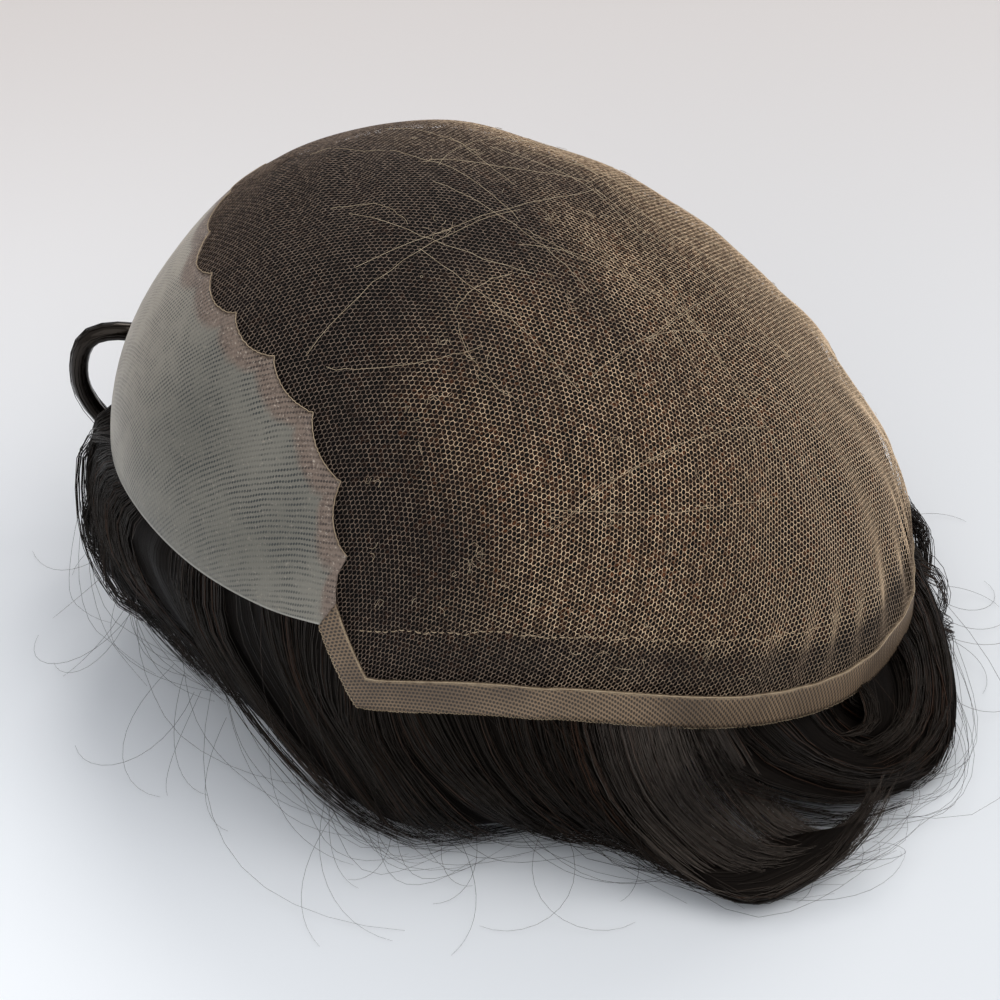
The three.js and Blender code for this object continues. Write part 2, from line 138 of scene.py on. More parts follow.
# Courses that the near side's hair is combed along, each the bearing of its root and its way
# from the rim to the tips in millimetres
CURL_EDGE = [(77, 10, 24), (82, 18, 13), (88, 28, 6), (92, 38, 4), (88, 48, 5), (82, 57, 8), (74, 66, 15)]
COMBINGS = {
    "near": [
        (-100, [(-12, -88, 52), (-14, -89, 46), (-13, -91, 38), (-9, -90, 28), (-8, -89, 19), (-8, -85, 10)]),
        (-84, [(-9, -89, 46), (-2, -90, 38), (0, -89, 27), (1, -85, 18), (-2, -79, 10), (-1, -74, 5)]),
        (-72, [(14, -85, 50), (18, -84, 40), (18, -79, 30), (16, -73, 20), (20, -67, 10), (24, -61, 4)]),
        (-62, [(32, -77, 48), (32, -74, 37), (34, -67, 24), (38, -59, 14), (45, -51, 7), (52, -43, 3.5)]),
        (-50, [(43, -65, 41), (46, -59, 28), (52, -51, 17), (59, -42, 9), (63, -34, 4), (65, -29, 2.5)]),
        (-38, [(55, -51, 40), (59, -45, 27), (64, -37, 15), (67, -31, 7), (66, -25, 3.5), (64, -22, 2.5)]),
        (-22, [(66, -39, 33), (70, -34, 24), (71, -29, 14), (69, -24, 7), (66, -19, 4), (63, -13, 3)]),
        (-12, [(72, -21, 27), (73, -14, 18), (71, -6, 10), (70, 3, 6), (68, 12, 4), (66, 18, 3)]),
        (0, [(72, -4, 27), (74, 3, 18), (73, 11, 10), (76, 19, 6), (79, 29, 4), (80, 37, 3)]),
        (8, CURL_EDGE),
    ],
    "curl": [
        (8, CURL_EDGE),
        (18, [(76, 25, 22), (79, 32, 13), (82, 40, 8), (81, 49, 6), (79, 57, 8), (74, 64, 11), (71, 65, 15)]),
        (27, [(66, 40, 19), (71, 45, 12), (75, 50, 9), (76, 55, 8), (75, 60, 10), (72, 63, 13),
              (71, 63, 17)]),
    ],
    "swirl": [
        (18, [(74, 30, 21), (74, 42, 14), (72, 54, 9), (68, 66, 6), (63, 74, 5)]),
        (27, [(66, 42, 19), (67, 52, 13), (66, 61, 9), (62, 70, 7), (57, 77, 6)]),
        (36, [(57, 53, 15), (58, 60, 11), (57, 68, 8), (53, 75, 7), (47, 80, 7)]),
        (46, [(48, 59, 14), (50, 65, 10), (48, 72, 8), (43, 78, 8), (37, 81, 9)]),
        (56, [(40, 63, 13), (41, 68, 10), (39, 72, 8), (35, 77, 8), (30, 80, 9)]),
    ],
    "turn": [
        (55, [(45, 66, 15), (48, 66, 12), (50, 61, 11), (50, 54, 11), (47, 49, 12)]),
        (68, [(29, 75, 15), (38, 76, 13), (46, 74, 11), (51, 68, 9), (52, 61, 8), (50, 54, 8), (47, 48, 10)]),
        (80, [(16, 80, 15), (27, 81, 13), (39, 81, 11), (48, 79, 8), (54, 73, 6),
              (55, 65, 5), (52, 58, 5), (48, 51, 7)]),
        (95, [(-1, 82, 15), (11, 85, 13), (23, 86, 11), (35, 86, 9), (46, 84, 7), (53, 80, 5),
              (58, 73, 4), (56, 59, 5)]),
    ],
}

# The loop of hair at the far end of the hairline, as shares of its size
LOOP_BEARING = -133
LOOP_COURSE = [
    (-0.07, -0.3), (0.3, -0.3), (0.62, -0.2), (0.88, -0.24), (0.97, -0.48), (0.92, -0.78),
    (0.7, -1.08), (0.25, -1.4),
]

rng = np.random.default_rng(7)


def smooth(xs, ys, at):
    """A smooth value between rows whose first column rises."""
    xs, ys, at = np.asarray(xs, float), np.asarray(ys, float), np.asarray(at, float)
    slope = np.empty_like(ys)
    slope[1:-1] = (ys[2:] - ys[:-2]) / (xs[2:] - xs[:-2])
    slope[0] = (ys[1] - ys[0]) / (xs[1] - xs[0])
    slope[-1] = (ys[-1] - ys[-2]) / (xs[-1] - xs[-2])
    k = np.clip(np.searchsorted(xs, at), 1, len(xs) - 1)
    span = xs[k] - xs[k - 1]
    t = np.clip((at - xs[k - 1]) / span, 0, 1)
    t2, t3 = t * t, t * t * t
    return ((2 * t3 - 3 * t2 + 1) * ys[k - 1] + (t3 - 2 * t2 + t) * slope[k - 1] * span
            + (3 * t2 - 2 * t3) * ys[k] + (t3 - t2) * slope[k] * span)


def read(table, column, at):
    return smooth([row[0] for row in table], [row[column] for row in table], at)


def unit(v):
    return v / np.maximum(np.linalg.norm(v, axis=-1, keepdims=True), 1e-12)


# The cap form

def reach_at(side):
    return np.where(side < 0, FRONT_REACH, BACK_REACH)


def cap_point(bearing, rise):
    around, up = np.radians(bearing), np.radians(rise)
    height = np.sign(up) * np.abs(np.sin(up)) ** (2 / CROWN_FULLNESS)
    return np.stack([
        HALF_WIDTH * np.cos(around) * np.cos(up),
        reach_at(np.sin(around)) * np.sin(around) * np.cos(up),
        CROWN_HEIGHT * height + 0 * around,
    ], -1)


def cap_normal(p):
    x, y, z = p[..., 0], p[..., 1], p[..., 2]
    steep = np.abs(z / CROWN_HEIGHT) ** (CROWN_FULLNESS - 1)
    return unit(np.stack([
        2 * x / HALF_WIDTH ** 2,
        2 * y / reach_at(y) ** 2,
        np.sign(z) * CROWN_FULLNESS * steep / CROWN_HEIGHT,
    ], -1))


def chart_of(p):
    """Bearing from -270 to 90, and rise, of points on the cap."""
    share = np.clip(p[..., 2] / CROWN_HEIGHT, -1, 1)
    bearing = np.degrees(np.arctan2(p[..., 1] / reach_at(p[..., 1]), p[..., 0] / HALF_WIDTH))
    rise = np.degrees(np.sign(share) * np.arcsin(np.abs(share) ** (CROWN_FULLNESS / 2)))
    return np.where(bearing > 90.0001, bearing - 360, bearing), rise


def leaned(v):
    c, s = math.cos(CAP_LEAN), math.sin(CAP_LEAN)
    x, y, z = v[..., 0], v[..., 1], v[..., 2]
    return np.stack([x, y * c + z * s, -y * s + z * c], -1)


# The cap's place: the band's box gives where its notch and middle are
band_low, band_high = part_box("edge_band")
notch_y = float(leaned(cap_point(HAIRLINE[-1][0], HAIRLINE[-1][1]))[1])
CAP_ORIGIN = np.array([(band_low.x + band_high.x) / 2, band_low.y - notch_y, TABLE_CLEARANCE])


def placed(p):
    return leaned(p) + CAP_ORIGIN


def folds(p):
    """How far the cloth swells out at points of the cap: pleats, gathers and shallow dents."""
    bearing, rise = chart_of(p)
    x, y, z = p[..., 0], p[..., 1], p[..., 2]
    near_band = np.exp(-((rise - rim_rise(bearing) - 15) / 7) ** 2)
    gathers = np.sin(np.radians(bearing) * 46 + 1.5 * np.sin(np.radians(bearing) * 9))
    at_back = np.clip((np.abs(bearing + 90) - 100) / 25, 0, 1)
    pleats = np.sin(np.radians(bearing) * 21 + 0.6) * np.exp(-((rise - 42) / 16) ** 2)
    dents = np.sin(x * 150 + 1.3) * np.sin(y * 120 + 0.4) + 0.6 * np.sin(y * 210 + x * 90)
    at_front = np.exp(-((bearing + 100) / 16) ** 2 - ((rise - 34) / 15) ** 2)
    wrinkles = np.sin(np.radians(rise) * 34 + 0.5) * at_front
    return (0.0005 * gathers * near_band * at_back + 0.0004 * pleats * at_back + 0.0007 * wrinkles
            + 0.00045 * dents * np.clip(rise / 30, 0, 1))


def skin(bearing, rise, depth=0.0):
    """Placed points at a depth under the cap's surface, with its folds."""
    p = cap_point(bearing, rise)
    depth = np.asarray(depth, float)[..., None]
    return placed(p + cap_normal(p) * (folds(p)[..., None] - depth))


# The cap's edges

def symmetric(bearing):
    turned = np.where(bearing > 90, bearing - 360, bearing)
    return np.where(turned < -90, -180 - turned, turned)


NOTCH, CORNER = HAIRLINE[-1], SIDE_RIM[0]


def rim_rise(bearing):
    half = symmetric(np.asarray(bearing, float))
    share = (half - NOTCH[0]) / (CORNER[0] - NOTCH[0])
    temple = NOTCH[1] + share * (CORNER[1] - NOTCH[1])
    side = read(SIDE_RIM, 1, half)
    return np.where(half <= NOTCH[0], read(HAIRLINE, 1, half), np.where(half < CORNER[0], temple, side))


def line_of(rows, count):
    """A chart line through rows, evenly divided along its length."""
    rows = np.asarray(rows, float)
    steps = np.linspace(0, len(rows) - 1, 12 * len(rows))
    knots = np.arange(len(rows))
    fine = np.stack([smooth(knots, rows[:, 0], steps), smooth(knots, rows[:, 1], steps)], -1)
    return evenly(fine, count)


def evenly(line, count):
    p = cap_point(line[:, 0], line[:, 1])
    along = np.concatenate([[0], np.cumsum(np.linalg.norm(np.diff(p, axis=0), axis=1))])
    at = np.linspace(0, along[-1], count)
    return np.stack([np.interp(at, along, line[:, 0]), np.interp(at, along, line[:, 1])], -1)


def shifted(line, distance):
    """A chart line moved across the surface, to the left of its direction."""
    p = cap_point(line[:, 0], line[:, 1])
    across = unit(np.cross(cap_normal(p), np.gradient(p, axis=0)))
    return np.stack(chart_of(p + across * np.asarray(distance)[..., None]), -1)


def mirrored(line):
    return np.stack([-180 - line[::-1, 0], line[::-1, 1]], -1)


def inset_corner(at, end_a, width_a, end_b, width_b):
    here, a, b = (cap_point(*np.array(c, float)) for c in (at, end_a, end_b))
    a, b = unit(a - here), unit(b - here)
    sine = math.sqrt(max(1 - float(a @ b) ** 2, 1e-9))
    return np.array(chart_of(here + (a * width_b + b * width_a) / sine)).ravel()


side_edge = line_of(SIDE_RIM, 160)
band_end = inset_corner(NOTCH, CORNER, TEMPLE_WIDTH, (NOTCH[0], NOTCH[1] + 5), 0)
band_corner = inset_corner(CORNER, NOTCH, TEMPLE_WIDTH, side_edge[8], BAND_WIDTH)
side_inner = shifted(side_edge, BAND_WIDTH)
side_inner = side_inner[side_inner[:, 0] > band_corner[0] + 0.8]
side_inner[-1, 0] = 90
TEMPLE_STEPS = 16
temple_outer = np.linspace(NOTCH, CORNER, TEMPLE_STEPS + 1)[:-1]
temple_inner = np.linspace(band_end, band_corner, TEMPLE_STEPS + 1)[:-1]
outer_edge = np.vstack([temple_outer, side_edge])
inner_edge = np.vstack([temple_inner, evenly(np.vstack([band_corner, side_inner]), len(side_edge))])


def scalloped_seam(count_per_lobe=18):
    near = line_of(SEAM, 240)
    base = evenly(np.vstack([near, mirrored(near)[1:]]), SCALLOP_COUNT * count_per_lobe + 1)
    lobe = np.abs(np.sin(np.pi * np.arange(len(base)) / count_per_lobe)) ** 0.7
    return shifted(base, lobe * SCALLOP_DEPTH)


scallops = scalloped_seam()
temple_join = np.linspace(band_end, TEMPLE_SEAM, 10)[:-1]
near_seam = np.vstack([[TEMPLE_SEAM], scallops, mirrored(np.array([TEMPLE_SEAM]))])
seam_line = np.vstack([temple_join, near_seam, mirrored(temple_join)])


# The flat chart of the cloth, centred on the top of the dome
DOME_RADIUS = 0.078


class FlatChart:
    """Between the cap's chart and the flat cloth that is shaped over it."""

    def __init__(self):
        self.bearings = np.arange(-270, 91, 3.0)
        self.rises = np.linspace(90, -40, 261)
        grid = cap_point(self.bearings[:, None], self.rises[None, :])
        steps = np.linalg.norm(np.diff(grid, axis=1), axis=2)
        arcs = np.concatenate([np.zeros((len(grid), 1)), np.cumsum(steps, axis=1)], axis=1)
        self.arcs = arcs
        self.radii = np.linspace(0, arcs[:, -1].min(), 400)
        self.rise_at = np.array([np.interp(self.radii, row, self.rises) for row in arcs])

    def _blend(self, table, columns, bearing, at):
        place = (bearing - self.bearings[0]) / 3
        i = np.clip(place.astype(int), 0, len(self.bearings) - 2)
        share = place - i
        step = columns[1] - columns[0]
        j_place = np.clip((at - columns[0]) / step, 0, len(columns) - 1.001)
        j = j_place.astype(int)
        part = j_place - j
        low = table[i, j] * (1 - part) + table[i, j + 1] * part
        high = table[i + 1, j] * (1 - part) + table[i + 1, j + 1] * part
        return low * (1 - share) + high * share

    def flat(self, bearing, rise):
        bearing, rise = np.asarray(bearing, float), np.asarray(rise, float)
        arc = self._blend(self.arcs, self.rises, bearing, rise)
        around = np.radians(bearing)
        turn = np.arctan2(reach_at(np.sin(around)) * np.sin(around), HALF_WIDTH * np.cos(around))
        radius = 2 * DOME_RADIUS * np.sin(arc / (2 * DOME_RADIUS))
        return np.stack([radius * np.cos(turn), radius * np.sin(turn)], -1)

    def chart(self, uv):
        u, v = uv[..., 0], uv[..., 1]
        bearing = np.degrees(np.arctan2(v / reach_at(v), u / HALF_WIDTH))
        bearing = np.where(bearing > 90, bearing - 360, bearing)
        radius = np.hypot(u, v)
        arc = 2 * DOME_RADIUS * np.arcsin(np.clip(radius / (2 * DOME_RADIUS), 0, 1))
        return bearing, self._blend(self.rise_at, self.radii, bearing, arc)


cloth = FlatChart()


# Shader trees

def paint(red, green, blue):
    """A colour given as a screen shows it, from 0 to 255, in the renderer's linear values."""
    def linear(c):
        c /= 255
        return c / 12.92 if c <= 0.04045 else ((c + 0.055) / 1.055) ** 2.4
    return (linear(red), linear(green), linear(blue), 1.0)


class Wire:
    """An output in a shader tree, which takes sums as a number does."""

    def __init__(self, shader, socket):
        self.shader, self.socket = shader, socket

    def _sum(self, operation, *values):
        return self.shader.node("ShaderNodeMath", {"operation": operation}, dict(enumerate(values)))

    def __add__(self, other):
        return self._sum("ADD", self, other)

    __radd__ = __add__

    def __sub__(self, other):
        return self._sum("SUBTRACT", self, other)

    def __rsub__(self, other):
        return self._sum("SUBTRACT", other, self)

    def __mul__(self, other):
        return self._sum("MULTIPLY", self, other)

    __rmul__ = __mul__

    def cosine(self):
        return self._sum("COSINE", self)

    def between(self, low, high):
        """0 below low, 1 above high, and smooth in between."""
        return self.shader.node("ShaderNodeMapRange", {"interpolation_type": "SMOOTHSTEP"},
                                {"Value": self, "From Min": low, "From Max": high})


class Shader:
    """A procedural material and its node tree."""

    def __init__(self, name):
        self.material = bpy.data.materials.new(name)
        self.material.use_nodes = True
        self.tree = self.material.node_tree
        self.surface = self.tree.nodes["Principled BSDF"]
        self.place = self.node("ShaderNodeTexCoord", output="Object")

    def node(self, kind, settings=None, values=None, output=0):
        made = self.tree.nodes.new(kind)
        for key, value in (settings or {}).items():
            if key == "stops":
                ramp = made.color_ramp.elements
                while len(ramp) < len(value):
                    ramp.new(0.5)
                for element, (position, colour) in zip(ramp, value):
                    element.position, element.color = position, colour
            else:
                setattr(made, key, value)
        for key, value in (values or {}).items():
            if isinstance(value, Wire):
                self.tree.links.new(value.socket, made.inputs[key])
            else:
                made.inputs[key].default_value = value
        return Wire(self, made.outputs[output])

    def noise(self, scale, detail=2.0, roughness=0.5, vector=None, stretch=None):
        vector = vector or self.place
        if stretch:
            vector = self.node("ShaderNodeMapping", None, {"Vector": vector, "Scale": stretch})
        values = {"Vector": vector, "Scale": scale, "Detail": detail, "Roughness": roughness}
        return self.node("ShaderNodeTexNoise", None, values)

    def mix(self, share, first, second):
        """A colour between two colours."""
        return self.node("ShaderNodeMix", {"data_type": "RGBA"}, {0: share, 6: first, 7: second}, 2)

    def bump(self, height, distance, strength=1.0):
        values = {"Height": height, "Distance": distance, "Strength": strength}
        return self.node("ShaderNodeBump", None, values)

    def set(self, **sockets):
        for key, value in sockets.items():
            target = self.surface.inputs[key.replace("_", " ")]
            if isinstance(value, Wire):
                self.tree.links.new(value.socket, target)
            else:
                target.default_value = value
        return self.material


FILM_WAVES = [(-0.94, 0.2, 1.9), (0.42, 1.45, 0.75), (-0.52, 1.65, 0.55)]
BAND_WAVES = [(1.38, 0.15, 1.2), (-0.16, 1.01, 1), (1.54, -0.86, 0.8)]


def weave(shader, waves, wander=0.0):
    """High in the middle of each hole of a weave. Its waves are each so many per millimetre of
    the flat cloth, one way and the other, and a strength."""
    uv = shader.node("ShaderNodeUVMap", {"uv_map": "Cloth"})
    u = shader.node("ShaderNodeSeparateXYZ", None, {0: uv}, 0)
    v = shader.node("ShaderNodeSeparateXYZ", None, {0: uv}, 1)
    if wander:
        u = u + shader.noise(90, 2) * wander
        v = v + shader.noise(75, 2) * wander
    turn = 2 * math.pi
    return sum((u * (turn * a) + v * (turn * b)).cosine() * strength for a, b, strength in waves)


def net_material():
    s = Shader("net_thread")
    warmth = s.node("ShaderNodeAttribute", {"attribute_name": "tone"}, None, "Fac")
    # Painted light: the threads run from the dark, shaded colour to the pale, lit colour as the painted light
    # in the tone attribute rises.
    lit = warmth + (s.noise(60, 3) - 0.5) * 0.5
    fine = s.noise(1100, 2).between(0.36, 0.66)
    dark = s.mix(fine, paint(74, 60, 51), paint(128, 110, 95))
    pale = s.mix(fine, paint(138, 112, 88), paint(236, 206, 170))
    # Painted light: towards the back, +Y, the pale threads turn paler still, as where more light falls.
    back = s.node("ShaderNodeSeparateXYZ", None, {0: s.place}, 1).between(0.025, 0.085)
    thread = s.mix(lit.between(0, 1), dark, s.mix(back * 0.7, pale, paint(250, 222, 188)))
    return s.set(Base_Color=thread, Roughness=0.6, Specular_IOR_Level=0.35)


def bed_material():
    s = Shader("hair_bed")
    warmth = s.node("ShaderNodeAttribute", {"attribute_name": "warmth"}, None, "Fac")
    specks = s.noise(1000, 3, 0.6).between(0.5, 0.68)
    fibres = s.noise(420, 3, 0.6, stretch=(1, 0.2, 0.6)).between(0.35, 0.7)
    dark = s.mix(fibres, paint(4, 3, 3), paint(14, 10, 8))
    rust = s.mix(s.noise(160, 2).between(0.4, 0.6), paint(66, 44, 30), paint(104, 62, 38))
    brown = s.mix(s.noise(300, 3, 0.6).between(0.35, 0.7), paint(7, 5, 4), paint(50, 35, 26))
    # Painted light: the mat turns from near-black towards brown where the painted light falls; the rust
    # specks are the mat's own, but they show more there.
    ground = s.mix(warmth * 0.5, dark, brown)
    return s.set(Base_Color=s.mix(specks * (warmth * 0.75 + 0.12), ground, rust), Roughness=0.8,
                 Specular_IOR_Level=0.15, Normal=s.bump(s.noise(700, 2), 0.0004))


def film_material():
    s = Shader("skin_film")
    holes = weave(s, FILM_WAVES, 1.5).between(-0.3, 2.1)
    clarity = s.noise(150, 4, 0.7).between(0.36, 0.62) * 0.75 + 0.25
    # Painted light: the film is painted lighter towards its far side, -X, as where it catches the light.
    far = 1 - s.node("ShaderNodeSeparateXYZ", None, {0: s.place}, 0).between(-0.03, 0.035)
    from_seam = s.node("ShaderNodeAttribute", {"attribute_name": "from_seam"}, None, "Fac")
    overlap = 1 - (from_seam + s.noise(260, 2) * 0.0024).between(0.0048, 0.0075)
    from_edge = s.node("ShaderNodeAttribute", {"attribute_name": "from_edge"}, None, "Fac")
    hem = 1 - from_edge.between(0.0002, 0.0007)
    edge_haze = 1 - from_edge.between(0.004, 0.02)
    near_ground = s.mix(s.noise(26, 2).between(0.3, 0.7), paint(104, 101, 91), paint(126, 122, 111))
    ground = s.mix(far, near_ground, paint(186, 176, 160))
    tinted = s.mix(overlap * 0.9, ground, paint(122, 104, 91))
    dash = s.mix(overlap, paint(42, 45, 44), paint(52, 41, 35))
    woven = s.mix(holes * (clarity - edge_haze * 0.25), tinted, dash)
    pits = s.noise(1300, 2).between(0.5, 0.68) * overlap * 0.55
    flecks = s.noise(1700, 2).between(0.58, 0.76) * (overlap * 0.5 + 0.25)
    grain = s.mix(flecks, s.mix(pits, woven, paint(66, 52, 44)), paint(186, 172, 156))
    return s.set(Base_Color=s.mix(hem * 0.8, grain, paint(170, 166, 156)), Roughness=0.45,
                 Specular_IOR_Level=0.4, Coat_Weight=0.1, Coat_Roughness=0.35,
                 Normal=s.bump(1 - holes, 0.00012, 0.6))


def band_material():
    s = Shader("band_tape")
    holes = weave(s, BAND_WAVES, 0.3).between(-1.2, 1.3)
    share = s.node("ShaderNodeAttribute", {"attribute_name": "from_edge"}, None, "Fac")
    inner_lip = share.between(0.9, 0.97)
    ground = s.mix(s.noise(60, 3).between(0.3, 0.7), paint(102, 84, 66), paint(140, 117, 92))
    woven = s.mix(holes * 0.92 * (1 - inner_lip * 0.7), ground, paint(46, 38, 31))
    lip = s.mix(inner_lip * s.noise(500, 2).between(0.3, 0.6) * 0.7, woven, paint(170, 150, 122))
    return s.set(Base_Color=lip, Roughness=0.5, Specular_IOR_Level=0.4,
                 Normal=s.bump(1 - holes, 0.0002, 0.8))


def thread_material(name, colour, other):
    s = Shader(name)
    return s.set(Base_Color=s.mix(s.noise(300, 2).between(0.3, 0.7), colour, other), Roughness=0.6)


def hair_material(name, gloss=0.32, roughness=0.14):
    s = Shader(name)
    tone = s.node("ShaderNodeAttribute", {"attribute_name": "tone"}, None, "Fac")
    dark = s.mix(s.noise(120, 2).between(0.35, 0.65), paint(5, 3, 2), paint(12, 8, 5))
    warm = s.mix(s.noise(60, 2).between(0.4, 0.6), paint(28, 18, 12), paint(54, 34, 23))
    colour = s.mix(tone.between(0.76, 1.0), dark, warm)
    return s.set(Base_Color=colour, Roughness=tone * 0.22 + roughness, Specular_IOR_Level=gloss,
                 Specular_Tint=WARM_GLOSS)


def lock_material():
    s = Shader("lock_hair")
    u = s.node("ShaderNodeUVMap", {"uv_map": "Hair"})
    strands = s.noise(1.0, 3, 0.6, vector=u, stretch=(2600, 26, 1))
    colour = s.mix(strands.between(0.35, 0.75), paint(3, 2, 2), paint(12, 8, 6))
    return s.set(Base_Color=colour, Roughness=0.5, Specular_IOR_Level=0.08, Specular_Tint=WARM_GLOSS,
                 Normal=s.bump(strands, 0.0005, 0.8))


def floor_material():
    s = Shader("pale_sheet")
    x = s.node("ShaderNodeSeparateXYZ", None, {0: s.place}, 0)
    y = s.node("ShaderNodeSeparateXYZ", None, {0: s.place}, 1)
    # Painted light and shade: the sheet is painted lighter towards -Y and darker towards +Y, and darker and
    # warmer towards the far side, -X, as light falls off across the table.
    far = 1 - (x + y * 0.1).between(-0.35, 0.06)
    painted_light_across = s.mix(y.between(-0.14, 0.1), paint(246, 249, 252), paint(226, 229, 232))
    return s.set(Base_Color=s.mix(far, painted_light_across, paint(206, 199, 195)), Roughness=0.7, Specular_IOR_Level=0.3)


# Meshes

def collect(obj):
    bpy.context.scene.collection.objects.link(obj)
    return obj


def grid_piece(name, outer, inner, material, uv_name=None, uv=None, closed=False, facts=None):
    """A closed wall between two grids of points, rows by columns. A closed one is a dome, whose
    rows meet each other and whose last column is a small ring round its top."""
    rows, columns = outer.shape[:2]
    points = np.vstack([outer.reshape(-1, 3), inner.reshape(-1, 3)])
    index = np.arange(2 * rows * columns).reshape(2, rows, columns)
    last = rows if closed else rows - 1
    a = np.arange(last)
    b = (a + 1) % rows
    faces = []

    def quads(p, q, r, s):
        faces.append(np.stack([p.ravel(), q.ravel(), r.ravel(), s.ravel()], -1))

    top, under = index
    quads(top[a][:, :-1], top[b][:, :-1], top[b][:, 1:], top[a][:, 1:])
    quads(under[a][:, :-1], under[a][:, 1:], under[b][:, 1:], under[b][:, :-1])
    quads(top[a][:, 0], under[a][:, 0], under[b][:, 0], top[b][:, 0])
    if not closed:
        quads(top[b][:, -1], under[b][:, -1], under[a][:, -1], top[a][:, -1])
        quads(top[0][:-1], top[0][1:], under[0][1:], under[0][:-1])
        quads(top[-1][1:], top[-1][:-1], under[-1][:-1], under[-1][1:])
    faces = np.vstack(faces).tolist()
    if closed:
        faces += [top[:, -1].tolist(), under[::-1, -1].tolist()]
    mesh = bpy.data.meshes.new(name)
    mesh.from_pydata(points.tolist(), [], faces)
    mesh.polygons.foreach_set("use_smooth", np.ones(len(faces), bool))
    if uv_name:
        both = np.vstack([uv.reshape(-1, 2)] * 2)
        layer = mesh.uv_layers.new(name=uv_name)
        layer.data.foreach_set("uv", both[np.concatenate(faces)].astype(np.float32).ravel())
    for fact, values in (facts or {}).items():
        attribute = mesh.attributes.new(fact, "FLOAT", "POINT")
        attribute.data.foreach_set("value", np.tile(values.ravel(), 2).astype(np.float32))
    mesh.materials.append(material)
    return collect(bpy.data.objects.new(name, mesh))


def thread_tree(material):
    """A tree that turns chains of edges into tubes, as thick as each point's girth says."""
    tree = bpy.data.node_groups.new("tubes_along_chains", "GeometryNodeTree")
    face = tree.interface
    face.new_socket("Geometry", in_out="INPUT", socket_type="NodeSocketGeometry")
    radius = face.new_socket("Thread radius", in_out="INPUT", socket_type="NodeSocketFloat")
    sides = face.new_socket("Sides", in_out="INPUT", socket_type="NodeSocketInt")
    caps = face.new_socket("Closed ends", in_out="INPUT", socket_type="NodeSocketBool")
    face.new_socket("Geometry", in_out="OUTPUT", socket_type="NodeSocketGeometry")

    def add(kind, links=(), **values):
        node = tree.nodes.new(kind)
        for key, value in values.items():
            if key in ("data_type", "mode"):
                setattr(node, key, value)
            else:
                node.inputs[key.replace("_", " ")].default_value = value
        for source, target in links:
            tree.links.new(source, node.inputs[target])
        return node.outputs[0] if node.outputs else node

    given = tree.nodes.new("NodeGroupInput").outputs
    girth = add("GeometryNodeInputNamedAttribute", data_type="FLOAT", Name="girth")
    chains = add("GeometryNodeMeshToCurve", [(given[0], "Mesh")])
    even = add("GeometryNodeSetCurveRadius", [(chains, "Curve")], Radius=1.0)
    ring = add("GeometryNodeCurvePrimitiveCircle",
               [(given["Sides"], "Resolution"), (given["Thread radius"], "Radius")])
    tubes = add("GeometryNodeCurveToMesh",
                [(even, "Curve"), (ring, "Profile Curve"), (girth, "Scale"),
                 (given["Closed ends"], "Fill Caps")])
    real = add("GeometryNodeRealizeInstances", [(tubes, "Geometry")])
    painted = add("GeometryNodeSetMaterial", [(real, "Geometry")], Material=material)
    out = tree.nodes.new("NodeGroupOutput")
    tree.links.new(painted, out.inputs[0])
    return tree, {"radius": radius.identifier, "sides": sides.identifier, "caps": caps.identifier}


def threads(name, chains, material, radius, sides=3, caps=True, girth=None, tone=None):
    """One mesh of tubes along chains, an array of chains by points by xyz or a list of them."""
    if isinstance(tone, list):
        tone = np.concatenate(tone)
    if isinstance(chains, np.ndarray):
        count, length = chains.shape[:2]
        points = chains.reshape(-1, 3)
        start = (np.arange(count)[:, None] * length + np.arange(length - 1)).ravel()
    else:
        points = np.vstack(chains)
        ends = np.cumsum([len(c) for c in chains])
        start = np.setdiff1d(np.arange(len(points)), ends - 1)
    mesh = bpy.data.meshes.new(name + "_chains")
    mesh.from_pydata(points.tolist(), np.stack([start, start + 1], -1).tolist(), [])
    facts = {"girth": np.ones(len(points)) if girth is None else girth.ravel()}
    if tone is not None:
        facts["tone"] = tone.ravel()
    for fact, values in facts.items():
        attribute = mesh.attributes.new(fact, "FLOAT", "POINT")
        attribute.data.foreach_set("value", values.astype(np.float32))
    holder = collect(bpy.data.objects.new(name + "_holder", mesh))
    tree, keys = thread_tree(material)
    modifier = holder.modifiers.new("tubes", "NODES")
    modifier.node_group = tree
    modifier[keys["radius"]] = radius
    modifier[keys["sides"]] = sides
    modifier[keys["caps"]] = caps
    graph = bpy.context.evaluated_depsgraph_get()
    made = bpy.data.meshes.new_from_object(holder.evaluated_get(graph))
    made.name = name
    holder.modifiers.remove(modifier)
    bpy.data.objects.remove(holder)
    made.polygons.foreach_set("use_smooth", np.ones(len(made.polygons), bool))
    return collect(bpy.data.objects.new(name, made))


def fit(piece, slot, *nodes):
    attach(piece, "root")
    if nodes:
        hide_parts(*nodes)
    return piece


# Net crown

def net_boundary():
    """How far the net reaches from the top of the dome, at each turn round it."""
    side = inner_edge[::-1]
    loop = np.vstack([side, near_seam, mirrored(side)])
    uv = cloth.flat(loop[:, 0], loop[:, 1])
    turn = np.arctan2(uv[:, 1], uv[:, 0])
    order = np.argsort(turn)
    return turn[order], np.hypot(uv[:, 0], uv[:, 1])[order]


def painted_light_at(place):
    """Painted light and shade: 0 where the net is dark, in painted shade, towards the front and top, and 1
    where it is warm and lit by painted light, towards the back and the sides.
    """
    x, y = place[..., 0], place[..., 1]
    blotch = np.sin(x * 95 + 1) * np.sin(y * 80) + 0.6 * np.sin(x * 190 - y * 130 + 2)
    share = np.clip(np.abs(x) * 9 + y * 14 + 0.15 * blotch + 0.22, 0, 1)
    return share * share * (3 - 2 * share)


